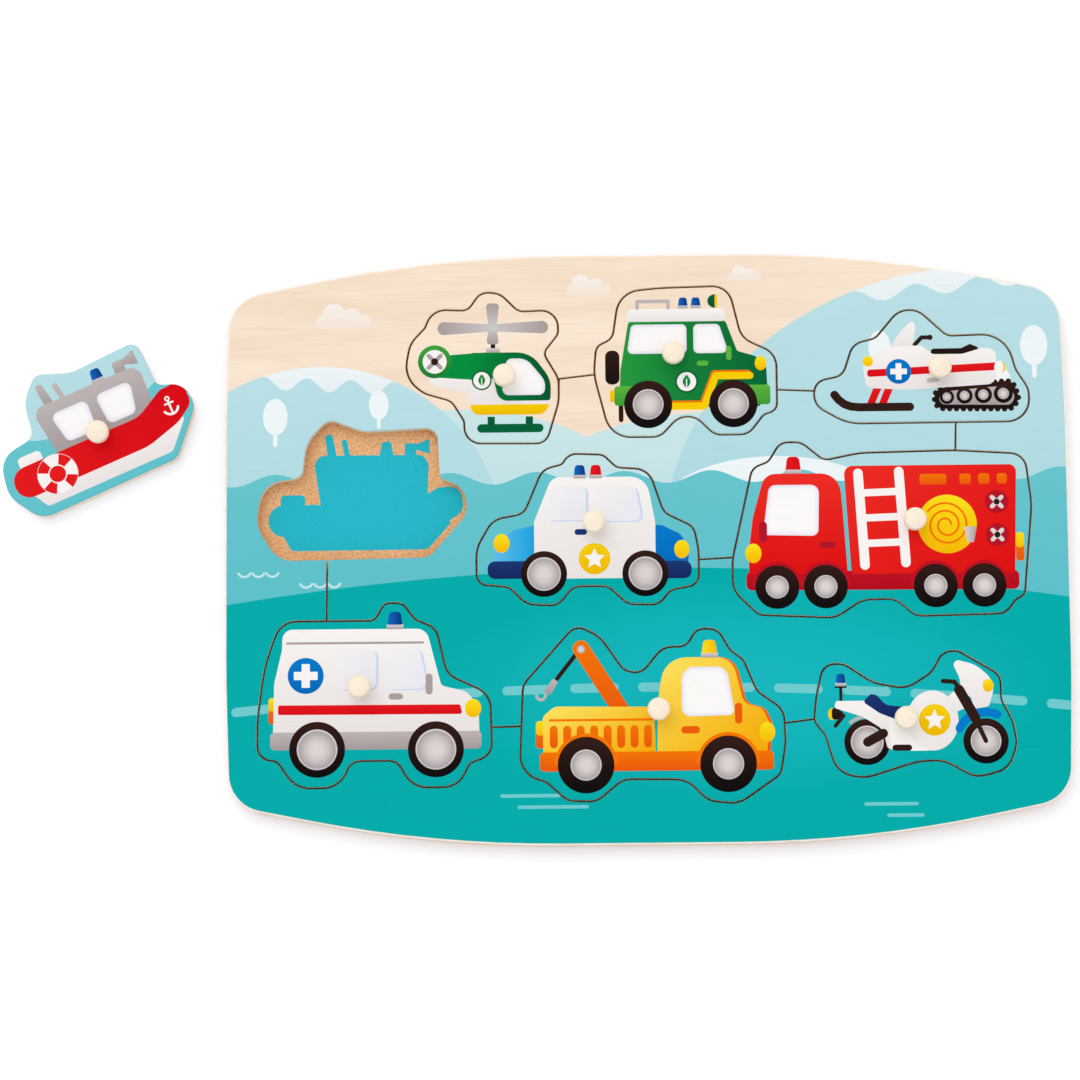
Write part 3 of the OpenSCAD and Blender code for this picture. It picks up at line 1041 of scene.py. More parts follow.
@dataclass(frozen=True)
class Hardboard:
    """Pressed brown fibre board, printed with the vehicles' shapes on the floor of the pockets."""

    pale: Colour = (253, 210, 164)
    dark: Colour = (208, 140, 78)
    fleck: Colour = (156, 94, 46)

    def material(self) -> Material:
        """The finish as a material.

        Returns:
            The material.
        """
        graph, material = Graph.of_material("pocket_floor")
        place = graph.layer(SHEET_LAYER, "Vector")
        fibre = graph.noise(place, (1100.0, 1500.0, 1300.0), 6.0, 0.65)
        cloud = graph.noise(place, (60.0, 60.0, 60.0), 3.0)
        flecks = graph.span(graph.noise(place, (900.0, 2600.0, 1800.0), 2.0), 0.62, 0.72)
        board = graph.coat(rgba(self.pale), self.dark, fibre, 0.35, 0.68)
        board = graph.coat(board, self.dark, cloud, 0.35, 0.7, 0.35)
        board = graph.coat(board, self.fleck, flecks, 0.0, 1.0, 0.45)
        ink = graph.coat(graph.layer(INK_LAYER, "Color"), self.pale, fibre, 0.3, 0.7, 0.03)
        printed = graph.mix(graph.layer(INK_LAYER, "Alpha"), board, ink)
        graph.finish(printed, graph.span(fibre, 0.3, 0.7, 0.5, 0.7), fibre, 0.00005, 0.1)
        return material


@dataclass(frozen=True)
class TurnedWood:
    """Pale turned beech under a clear varnish: faint rings round the axis and short dark flecks."""

    pale: Colour = (254, 240, 219)
    dark: Colour = (241, 216, 184)

    def material(self) -> Material:
        """The finish as a material.

        Returns:
            The material.
        """
        graph, material = Graph.of_material("turned_wood")
        place = graph.add("TexCoord", {}, "Object")
        grain = graph.noise(place, (520.0, 900.0, 70.0), 4.0, 0.6)
        flecks = graph.span(graph.noise(place, (1900.0, 1900.0, 240.0), 2.0), 0.6, 0.72)
        wood = graph.coat(rgba(self.pale), self.dark, grain, 0.35, 0.75, 0.3)
        wood = graph.coat(wood, self.dark, flecks, 0.0, 1.0, 0.12)
        graph.finish(wood, graph.span(grain, 0.3, 0.7, 0.34, 0.44), grain, 0.000004, 0.3)
        return material


@dataclass
class Finishes:
    """Every finish of the puzzle, made once."""

    top: Material = field(default_factory=PrintedPly().material)
    edge: Material = field(default_factory=SandedEdgeAndPaintedLight().material)
    wall: Material = field(default_factory=PlyWall().material)
    back: Material = field(default_factory=BareVeneer().material)
    floor: Material = field(default_factory=Hardboard().material)
    peg: Material = field(default_factory=TurnedWood().material)

    def plywood(self) -> list[Material]:
        """Finishes of a plywood plate, one for each kind of surface."""
        return [self.top, self.edge, self.wall, self.back, self.top]

    def hardboard(self) -> list[Material]:
        """Finishes of the hardboard back."""
        return [self.floor] * len(Face)


# The print behind the vehicles


@dataclass
class Landscape:
    """Print of the panel: bare wood as the sky, hills, a shore with waves, and a road on the ground."""

    reach: float = 165.0
    half: float = 150.0
    puffs: Spots = ((-7, 0, 2.5), (-3, 2.6, 4.2), (3.4, 1.8, 3.4), (8, 0, 2.5))
    puff_reach: float = 9.996
    puff_steps: int = 60
    clouds: Spots = ((-108, 82, 1.0), (-20, 93, 0.8), (36, 97, 0.6))
    hills: tuple[tuple[float, float, float, Ink], ...] = (
        (-66, 74, 50, FAR_HILL), (-116, 66, 66, HILL), (22, 76, 48, FAR_HILL), (122, 116, 100, HILL))
    caps: Spots = ((-116, 66, 66, 66, 108), (122, 116, 100, 80, 114))
    cap_wave: float = 2.4
    cap_waves: int = 3
    cap_steps: int = 39
    drift: tuple[float, float, float, float] = (46, 14, 40, 18)
    trees: Spots = ((-132, 38, 1.0), (-95, 44, 0.8), (84, 62, 0.9), (139, 60, 1.1), (127, 50, 0.8))
    trunk_h: float = 5.0
    trunk_w: float = 1.5
    crown_y: float = 10.0
    crown_rx: float = 4.4
    crown_ry: float = 6.6
    sea_y: float = 25.0
    wave_h: float = 2.2
    wave_l: float = 31.0
    curls: Spots = ((-143, -7), (-121, -11))
    curl_step: float = 5.0
    curl_r: Spot = (2.0, 2.8)
    ground_y: float = -7.5
    ground_fall: float = 12.0
    road_x: float = 33.0
    road_y: float = -50.0
    road_rx: float = 112.0
    road_ry: float = 39.0
    road_fall: float = 8.0
    dash_start: float = -146.0
    dash_l: float = 14.0
    dash_gap: float = 10.0
    dash_w: float = 3.2
    streaks: Spots = ((-52, -88, 20), (-46, -92, 24), (76, -92, 18), (84, -96, 12))
    streak_w: float = 1.2

    def draw(self) -> list[Patch]:
        """The patches of the print, from the back to the front.

        Returns:
            The patches.
        """
        pen = Pen()
        self.draw_sky(pen)
        self.draw_hills(pen)
        self.draw_sea(pen)
        self.draw_ground(pen)
        return pen.patches

    def draw_sky(self, pen: Pen) -> None:
        """Clouds: the upper edge of four puffs, on a foot that is flat between the outer two.

        Args:
            pen: gathers the patches.
        """
        puff_x, puff_y, puff_r = np.array(self.puffs).T
        middle, half, foot_r = (puff_x[0] + puff_x[-1]) / 2, (puff_x[-1] - puff_x[0]) / 2, puff_r[0]
        turn = np.linspace(-np.pi / 2, np.pi / 2, self.puff_steps + 1)
        across = middle + self.puff_reach * np.sin(turn)
        tall = puff_r ** 2 - (across[:, None] - puff_x) ** 2
        top = np.where(tall > 0, puff_y + np.sqrt(np.maximum(tall, 0)), 0.0).max(1)
        ends = np.maximum(np.abs(across - middle) - half, 0)
        foot = -np.sqrt(np.maximum(foot_r ** 2 - ends ** 2, 0))
        top = np.maximum(top, np.where(ends > 0, 0, foot_r))
        edge = np.concatenate([np.column_stack([across, foot]), np.column_stack([across, top])[::-1]])
        for x, y, size in self.clouds:
            pen.fill(edge * size + [x, y], CLOUD)

    def draw_hills(self, pen: Pen) -> None:
        """Hills as ellipses, their snow caps between an arc and a wavy line, and round trees.

        Args:
            pen: gathers the patches.
        """
        for x, rx, ry, ink in self.hills:
            pen.disc(x, 0, rx, ink, ry, Blend.DOWN)
        for x, rx, ry, start, stop in self.caps:
            self.draw_cap(pen, arc(x, 0, rx, ry, start, stop))
        x, y, rx, ry = self.drift
        pen.disc(x, y, rx, SNOW, ry, Blend.DOWN)
        for x, y, size in self.trees:
            pen.bar(x, y, x, y + self.trunk_h * size, self.trunk_w * size, SNOW)
            pen.disc(x, y + self.crown_y * size, self.crown_rx * size, SNOW, self.crown_ry * size)

    def draw_cap(self, pen: Pen, top: Outline) -> None:
        """Snow on a hill: the hill's own arc, closed by a line with a few waves.

        Args:
            pen: gathers the patches.
            top: the arc.
        """
        share = np.linspace(0, 1, self.cap_steps + 1)[1:-1, None]
        under = top[-1] * (1 - share) + top[0] * share
        under[:, 1] -= self.cap_wave * (1 - np.cos(2 * np.pi * self.cap_waves * share[:, 0]))
        pen.fill(np.concatenate([top, under]), SNOW)

    def below(self, edge: Outline) -> Outline:
        """All of the sheet below an edge that runs from left to right."""
        return np.concatenate([[[-self.reach, -self.reach], [self.reach, -self.reach]], edge[::-1]])

    def draw_sea(self, pen: Pen) -> None:
        """Sea under a sine wave, with short curls.

        Args:
            pen: gathers the patches.
        """
        x = np.arange(-self.reach, self.reach + 1, 1.0)
        edge = np.column_stack([x, self.sea_y - self.wave_h * np.sin(2 * np.pi * x / self.wave_l)])
        pen.fill(self.below(edge), SEA)
        for x0, y0 in self.curls:
            for k in range(3):
                pen.arch(x0 + self.curl_step * k, y0, *self.curl_r, 200, 340, FOAM)

    def draw_ground(self, pen: Pen) -> None:
        """Ground under a low bow, which is a parabola, with a dashed road line that follows another.

        Args:
            pen: gathers the patches.
        """
        x = np.arange(-self.reach, self.reach + 1, 3.0)
        edge = np.column_stack([x, self.ground_y - self.ground_fall * (x / self.half) ** 2])
        pen.fill(self.below(edge), GROUND)
        pen.disc(self.road_x, self.road_y, self.road_rx, ROAD, self.road_ry, Blend.ROUND)
        for x0 in np.arange(self.dash_start, self.half, self.dash_l + self.dash_gap):
            x1 = x0 + self.dash_l
            y0, y1 = (self.road_y - self.road_fall * (v / self.half) ** 2 for v in (x0, x1))
            pen.bar(x0, y0, x1, y1, self.dash_w, DASH)
        for x0, y0, length in self.streaks:
            pen.bar(x0, y0, x0 + length, y0, self.streak_w, DASH)


# The vehicles


@dataclass
class Peg:
    """Turned knob with a stem that is glued into its piece."""

    height: float = 9.0
    head_d: float = 8.0
    head_h: float = 5.2
    rim_r: float = 1.0
    shoulder_r: float = 1.2
    dome_h: float = 0.5
    neck_d: float = 5.0
    stem_d: float = 4.0
    stem_l: float = 3.5
    stem_bevel: float = 0.4
    glue_gap: float = 0.05
    glue_room: float = 0.4
    segments: int = 64
    dome_steps: int = 8
    sharp_angle: float = 40.0

    def profile(self) -> np.ndarray:
        """Half section from axis to axis: stem, neck, cove, rim, shoulder, and a parabola as the dome.

        Returns:
            Distance from the axis and height of each point.
        """
        head, neck, stem = self.head_d / 2, self.neck_d / 2, self.stem_d / 2
        cove, level = head - self.rim_r - neck, head - self.shoulder_r
        under, crown = self.height - self.head_h, self.height - self.dome_h
        x = np.linspace(level, 0, self.dome_steps + 1)[1:]
        return np.concatenate([
            [[0, -self.stem_l], [stem - self.stem_bevel, -self.stem_l], [stem, self.stem_bevel - self.stem_l],
                [stem, 0], [neck, 0]],
            arc(neck + cove, under - cove, cove, cove, 180, 90),
            arc(head - self.rim_r, under + self.rim_r, self.rim_r, self.rim_r, -90, 0)[1:],
            arc(level, crown - self.shoulder_r, self.shoulder_r, self.shoulder_r, 0, 90),
            np.column_stack([x, crown + self.dome_h * (1 - (x / level) ** 2)])])

    def build(self, name: str, foot: Vector, finish: Material) -> Piece:
        """Turns the profile round the axis: a grid of its points by equal angles, and a point at each pole.

        Args:
            name: the piece's name.
            foot: where the axis meets the top of the vehicle, in metres.
            finish: its material.

        Returns:
            The peg.
        """
        profile = self.profile()
        inner = profile[1:-1]
        angle = np.linspace(0, 2 * np.pi, self.segments, endpoint=False)
        grid = np.stack([np.outer(inner[:, 0], np.cos(angle)), np.outer(inner[:, 0], np.sin(angle)),
            np.repeat(inner[:, 1:], self.segments, 1)], -1).reshape(-1, 3)
        poles = [[0, 0, profile[0, 1]], [0, 0, profile[-1, 1]]]
        ring = np.arange(self.segments)
        ahead = np.roll(ring, -1)
        row = np.arange(len(inner) - 1)[:, None] * self.segments
        above = row + self.segments
        quads = np.stack([row + ring, row + ahead, above + ahead, above + ring], -1)
        last = len(grid) - self.segments
        low = np.column_stack([np.full(self.segments, len(grid)), ahead, ring])
        high = np.column_stack([np.full(self.segments, len(grid) + 1), last + ring, last + ahead])
        mesh = bpy.data.meshes.new(name)
        mesh.from_pydata(np.concatenate([grid, poles]) * MM + np.array(foot), [],
            [*quads.reshape(-1, 4).tolist(), *low.tolist(), *high.tolist()])
        mesh.polygons.foreach_set("use_smooth", np.ones(len(mesh.polygons), bool))
        mesh.set_sharp_from_angle(angle=math.radians(self.sharp_angle))
        mesh.materials.append(finish)
        return put(name, mesh)


@dataclass
class Vehicle:
    """A vehicle of the puzzle: a plywood piece with its print, and the peg that lifts it.

    Attributes:
        name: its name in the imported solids.
        width: width of its saw line.
        height: height of its saw line.
        peg_share: place of the peg, as shares of both.
        turn: how far the piece is turned from how it was printed, in degrees.
        pocket: lower left corner of its saw line in the sheet, where the piece lies beside the board.
    """

    name: str
    width: float
    height: float
    peg_share: Spot
    turn: float = 0.0
    pocket: Spot | None = None
    thickness: float = 6.0
    ease: float = 0.5
    wrapped: int = 4

    def draw(self, pen: Pen) -> None:
        """Draws the vehicle, from the lower left corner of its saw line."""
        raise NotImplementedError

    def peg_place(self) -> np.ndarray:
        """Place of the peg's axis in the frame."""
        low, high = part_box(f"{self.name}_peg")
        return np.array((low + high) / 2)[:2] / MM

    def own_peg(self) -> np.ndarray:
        """Place of the peg's axis from the lower left corner of the saw line."""
        return np.array([self.width, self.height]) * self.peg_share

    def corner(self) -> np.ndarray:
        """Lower left corner of the saw line in the sheet."""
        return np.array(self.pocket) if self.pocket else self.peg_place() - self.own_peg()

    def print_patches(self) -> list[Patch]:
        """The vehicle's patches, at their place in the sheet.

        Returns:
            The patches.
        """
        pen = Pen()
        self.draw(pen)
        return [patch.moved(self.corner()) for patch in pen.patches]

    def place(self) -> Matrix:
        """Moves the sheet, in metres, to where the piece is kept: about the peg's axis by the turn.

        Returns:
            The move.
        """
        low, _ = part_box(f"{self.name}_piece")
        own = (self.corner() + self.own_peg()) * MM
        here = self.peg_place() * MM
        return (Matrix.Translation((*here, low.z)) @ Matrix.Rotation(math.radians(self.turn), 4, "Z")
            @ Matrix.Translation((*-own, 0)))

    def build(self, landscape: Sequence[Patch], peg: Peg, finishes: Finishes) -> list[Piece]:
        """Builds the piece with a blind bore for the stem, and its peg.

        Args:
            landscape: the print behind the vehicle.
            peg: the peg's shape.
            finishes: the puzzle's finishes.

        Returns:
            Both pieces.
        """
        place = self.place()
        back = np.array(place.inverted())
        outer = max(top_loops(f"{self.name}_piece"), key=signed_area) * MM
        outer = (outer @ back[:2, :2].T + back[:2, 3]) / MM
        axis = self.corner() + self.own_peg()
        radius = peg.stem_d / 2 + peg.glue_gap
        bore = arc(*axis, radius, radius, 0, 360)[:-1]
        plate = Plate()
        profile = [*quarter(self.ease, self.thickness, self.wrapped), (self.ease, self.ease, Face.WALL),
            *quarter_under(self.ease, 0.0, self.ease)]
        depth = self.thickness - peg.stem_l - peg.glue_room
        for loop in plate.cover([outer, bore], [*landscape, *self.print_patches()], self.thickness):
            if signed_area(plate.points[0][loop][:, :2]) > 0:
                plate.close([plate.carry(loop, profile)], Face.BACK)
            else:
                plate.close([plate.carry(loop, [(0.0, depth, Face.WALL)])], Face.BACK, True)
        piece = plate.make(f"{self.name}_vehicle", finishes.plywood(), place)
        foot = Vector((*self.peg_place(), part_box(f"{self.name}_piece")[1].z / MM)) * MM
        knob = peg.build(f"{self.name}_knob", foot, finishes.peg)
        for made, node, slot in ((piece, "piece", f"{self.name}_print"), (knob, "peg", "turned_peg")):
            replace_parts(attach(made, self.name), f"{self.name}_{node}")
        return [piece, knob]


@dataclass
class Wheeled(Vehicle):
    """A vehicle on wheels of one size.

    Attributes:
        wheels: places of the wheels.
        tyre_r: radius of the tyres.
        hub_r: radius of the hubs.
    """

    wheels: Spots = ()
    tyre_r: float = 0.0
    hub_r: float = 0.0

    def draw_wheels(self, pen: Pen) -> None:
        """Draws every wheel."""
        for x, y in self.wheels:
            pen.wheel(x, y, self.tyre_r, self.hub_r)


@dataclass
class Helicopter(Vehicle):
    """Rescue helicopter with a ringed tail rotor."""

    name: str = "helicopter"
    width: float = 54.5
    height: float = 55.0
    peg_share: Spot = (0.646, 0.431)
    rotor: Spot = (10.2, 29.9)

    def draw(self, pen: Pen) -> None:
        """Draws the helicopter.

        Args:
            pen: gathers the patches.
        """
        pen.slab([(7, 25), (9, 21.5), (24, 17.5), (26, 26)], WHITE)
        pen.slab([(24, 10.5, 4), (49, 10.5, 4), (51.5, 15, 3), (51.8, 23, 10), (44.5, 33, 10),
            (23, 33, 2), (22.5, 14, 2)], WHITE)
        pen.slab([(9, 24.3), (24, 23.2), (30, 24), (30, 33.2), (16, 32.3)], GREEN, 1, Blend.FLAT)
        pen.slab([(22.5, 24.5, 1), (31, 24.5, 3), (33, 15.5, 4), (51.5, 15.5, 1), (51.8, 23, 10),
            (44.5, 33, 10), (23, 33, 1)], COWL, blend=Blend.ACROSS)
        pen.window([(34.6, 17.5), (49.4, 17.5), (49.8, 22.5, 6), (43, 30.8, 6), (36.2, 30.8), (34, 24, 2)])
        pen.slab([(22.6, 14.2, 0.5), (24, 10.5, 3.5), (49, 10.5, 3.5), (51.4, 14.2, 0.5)], GOLD)
        pen.leaf_badge(27, 23, 3.6)
        pen.box(28.7, 33, 33.5, 34.8, SILVER, 0.4)
        pen.box(30.3, 34.6, 31.9, 37, BLACK, 0.2)
        pen.slab([(29.6, 42), (32.4, 42), (33.5, 50.9, 1.4), (28.5, 50.9, 1.4)], BLADE, 0.1)
        pen.slab([(28.7, 36, 1.2), (33.3, 36, 1.2), (32.4, 42), (29.6, 42)], BLADE.turned(), 0.1)
        pen.slab([(11.3, 39.4, 2.3), (31, 40.7), (31, 43.3), (11.3, 44.4, 2.3)], BLADE, 0.1, Blend.ACROSS)
        pen.slab([(31, 40.7), (50.9, 39.7, 2.2), (50.9, 44.5, 2.2),
            (31, 43.3)], BLADE.turned(), 0.1, Blend.ACROSS)
        pen.disc(*self.rotor, 6, MOSS, blend=Blend.DOWN)
        pen.disc(*self.rotor, 4.3, WHITE)
        pen.spokes(*self.rotor, 3.1, 1.5, STEEL)
        pen.disc(*self.rotor, 1.3, BLACK)
        for x in (29, 42.6):
            pen.box(x, 5.6, x + 2.6, 9.8, PINE, 0.2)
        pen.bar(26.8, 5.6, 47.4, 5.6, 3.1, PINE)


@dataclass
class OffroadCar(Wheeled):
    """Square off-road car with a spare wheel and a roof rack."""

    name: str = "offroad_car"
    width: float = 65.0
    height: float = 54.5
    peg_share: Spot = (0.432, 0.537)
    wheels: Spots = ((19, 11.7), (49.4, 11.7))
    tyre_r: float = 8.6
    hub_r: float = 5.5

    def draw(self, pen: Pen) -> None:
        """Draws the off-road car.

        Args:
            pen: gathers the patches.
        """
        pen.bar(9.3, 6.2, 9.3, 11, 1.7, BLACK)
        pen.box(5.4, 12.6, 8.4, 17, GOLD, 0.8)
        pen.slab([(10.5, 10.6), (59, 10.6), (61.6, 18, 1), (61.3, 25), (57.5, 28.8, 4), (51, 30.7),
            (46.9, 41.8), (12.2, 41.8), (9.2, 24), (9, 18)], SHELL, 1.5, Blend.ACROSS)
        for x0, x1 in ((7, 16), (54, 62.6)):
            pen.box(x0, 11.3, x1, 18.4, LEAF, 1.2)
        pen.slab([(11.2, 41.6), (47.4, 41.6), (46.4, 46.2), (12.6, 46.2)], WHITE, 1.4)
        pen.window([(11.6, 30), (33, 30), (33, 40.6), (13.2, 40.6)], 1.8)
        pen.window([(35.4, 30), (48, 30), (44.6, 40.6), (35.4, 40.6)], 1.8)
        pen.box(3.8, 19, 8.9, 31.3, BLACK, 2.2)
        pen.trail([(15.5, 46.6), (15.5, 49), (26.5, 49), (26.5, 46.6)], 1.3, GREY)
        for x in (31.8, 36.4):
            pen.beacon(x, 46.3, 3.8, LAMP_BLUE)
        pen.fill(arc(43.4, 48.9, 2.8, 2.5, 90, 270), PINE)
        pen.bar(43.7, 46.9, 43.7, 50.9, 0.9, GOLD)
        pen.trail([(27.5, 11.7), (38.5, 11.7), (42.7, 22.6), (54.6, 22.6)], 2.4, ORANGE)
        pen.trail([(27.5, 10.9), (39, 10.9), (43.2, 21.8), (55.4, 21.8)], 2.6, GOLD)
        pen.headlamp(59.3, 26.2, 2.1, 2.6)
        pen.bar(37.4, 26.4, 39.8, 26.4, 1.8, LEAF)
        pen.bar(48, 28.4, 48, 31.6, 2.0, LEAF)
        pen.leaf_badge(32.8, 19.8, 4.1)
        self.draw_wheels(pen)


@dataclass
class Snowmobile(Vehicle):
    """Snowmobile on a ski and a lugged track."""

    name: str = "snowmobile"
    width: float = 76.5
    height: float = 41.0
    peg_share: Spot = (0.581, 0.462)
    lugs: int = 29
    lug_r: float = 1.0

    def draw(self, pen: Pen) -> None:
        """Draws the snowmobile.

        Args:
            pen: gathers the patches.
        """
        track = rounded([(42.6, 5.0), (70.6, 4.6), (73, 8.6), (70.6, 15), (62, 14.2), (43, 12.2)], 3.2)
        for x, y in evenly(track, self.lugs):
            pen.disc(x, y, self.lug_r, BLACK)
        pen.fill(track, BLACK)
        pen.slab([(44.4, 6.5), (70, 6.1), (71.4, 9), (69.6, 13), (62, 12.6), (44.6, 11)], GREY, 2.4)
        for x, y, radius in ((47.2, 9.2, 2.6), (53.5, 9.6, 2.9), (60.2, 9.9, 3.1), (67.3, 10.2, 3.4)):
            pen.wheel(x, y, radius, 0.6 * radius)
        for x in (20.4, 24.6):
            pen.slab([(x - 2.1, 6, 0.2), (x + 0.7, 6, 0.2), (x + 3.8, 13, 0.2), (x + 0.8, 13, 0.2)], RED)
        pen.trail([(7.2, 10.4), (8.6, 8.6), (10.6, 7.0), (13, 6.1), (16, 5.8), (34, 5.8)], 3.0, BLACK)
        pen.slab([(41.6, 24), (58, 24), (58.9, 27), (55.8, 28.3), (52.6, 26.8), (42, 26.7)], BLACK, 1)
        pen.trail([(35.6, 27.6), (38.6, 30.8), (41.5, 30.8)], 1.5, BLACK)
        pen.disc(41.6, 30.8, 1.0, BLACK)
        pen.slab([(26.3, 26.4, 1), (35.2, 27.2, 1), (36.6, 34.6, 6), (35.6, 37.2, 1.2),
            (31.6, 33.6, 12)], WHITE)
        pen.slab([(18.6, 12.8, 2.2), (33, 11.9, 20), (63.6, 13.7, 3), (65.2, 17, 3), (64.9, 26.4, 3),
            (60, 26.8, 4), (53, 24.7, 6), (42.4, 24.7, 2), (38.6, 27.9, 3), (30, 27.8, 12),
            (20.6, 25, 3), (17.4, 21, 4)], WHITE)
        pen.slab([(19, 16.7, 1), (64.9, 18.7, 0.4), (64.9, 21.5, 0.4), (19, 19.3, 1)], RED)
        pen.plus(30.2, 18.6, 4.5)
        pen.bar(41, 15.2, 44, 15.5, 1.7, GREY)
        pen.headlamp(19.3, 22.4, 1.9, 1.9)
        pen.disc(66, 19.6, 1.7, WHITE, 2.5)
        pen.arch(65.4, 19.6, 2.2, 2.9, -40, 40, GOLD)


@dataclass
class Boat(Vehicle):
    """Rescue boat with a cabin, a funnel and a lifebuoy."""

    name: str = "boat"
    width: float = 74.0
    height: float = 49.5
    peg_share: Spot = (0.518, 0.41)
    turn: float = 23.3
    pocket: Spot | None = (-138.1, -3.439)
    buoy: Spot = (19, 13.2)
    buoy_r: float = 7.2

    def draw(self, pen: Pen) -> None:
        """Draws the boat.

        Args:
            pen: gathers the patches.
        """
        pen.slab([(24.4, 37, 0.3), (27.8, 37, 0.3), (26, 46, 1.2), (23.4, 45.6, 1.2)], GREY)
        pen.bar(31.4, 38, 30.4, 43, 2.0, GREY)
        pen.beacon(45.5, 38, 4.8, LAMP_BLUE)
        pen.box(52, 38, 56.2, 42.4, GREY, 0.6)
        pen.slab([(55.6, 40.2, 0.3), (61, 38.4, 0.3), (61, 44, 0.3), (55.6, 41.8, 0.3)], GREY)
        pen.slab([(22, 19), (60, 19), (60.6, 35, 2), (58.5, 38.2, 3), (21.5, 38.2, 3), (19.6, 35, 2)], GREY)
        pen.window([(27, 22.3), (38.3, 22.3), (38.6, 34), (24.5, 34)], 2.4)
        pen.window([(43, 22.3), (53.5, 22.3), (55.8, 34), (42, 34)], 2.4)
        pen.slab([(8, 10, 1), (11.5, 3.8, 2), (60, 4, 3), (68.5, 13.5, 1), (66, 17, 1), (8, 12, 1)], WHITE)
        pen.box(7.5, 17, 16.3, 24, WHITE, 1.6)
        pen.slab([(3.2, 9, 5.4), (53, 9.2, 20), (66, 13, 12), (73.2, 17.8, 4.6), (72, 26.6, 4.6),
            (64.2, 26.4, 3), (53.5, 20.4, 10), (3.2, 20.4, 5.4)], RED, blend=Blend.ACROSS)
        pen.disc(*self.buoy, self.buoy_r + 0.2, SILVER)
        pen.disc(*self.buoy, self.buoy_r, WHITE)
        for start in (25, 115, 205, 295):
            pen.arch(*self.buoy, 3.4, self.buoy_r, start, start + 40, RED)
        pen.disc(*self.buoy, 3.0, RED)
        pen.anchor(65.4, 19.6, 3.8, WHITE, RED)


@dataclass
class PoliceCar(Wheeled):
    """Police car with a light on its roof."""

    name: str = "police_car"
    width: float = 79.0
    height: float = 54.5
    peg_share: Spot = (0.53, 0.534)
    wheels: Spots = ((24, 11.3), (60, 11.2))
    tyre_r: float = 8.2
    hub_r: float = 6.0

    def draw(self, pen: Pen) -> None:
        """Draws the police car.

        Args:
            pen: gathers the patches.
        """
        pen.slab([(6, 12, 1), (22, 12, 1), (22, 29, 0.5), (13, 27, 6), (7, 22, 4)], SKY, blend=Blend.ACROSS)
        pen.slab([(62, 12, 1), (75, 12.6, 2), (75.5, 18, 4), (73, 25, 4), (66, 28.4, 4),
            (62, 28.6, 0.5)], BLUE)
        pen.box(4, 9.7, 22, 16, NAVY, 2.6)
        pen.box(62, 9.3, 76.4, 15.6, NAVY, 2.6)
        pen.slab([(20.6, 9.6, 1), (63.7, 9.6, 1), (63.7, 29.4, 6), (60.6, 45.9, 7), (27, 45.9, 4),
            (20.6, 30, 3)], WHITE)
        pen.pane([(24.6, 30), (40, 30), (40, 42.2), (28.6, 42.2)], 2.2)
        pen.pane([(43.6, 29.6), (59.8, 29.6), (57.6, 42), (43.6, 42)], 2.2)
        pen.bar(36, 26.2, 38.4, 26.2, 2.1, NAVY)
        pen.medal(42, 16.6, 5.6)
        pen.beacon(37, 45.4, 4.6, LAMP_BLUE)
        pen.beacon(42.7, 45.4, 4.6, RED)
        pen.headlamp(9, 22.4, 2.9, 3.4)
        pen.headlamp(73, 19.7, 2.7, 3.3)
        self.draw_wheels(pen)


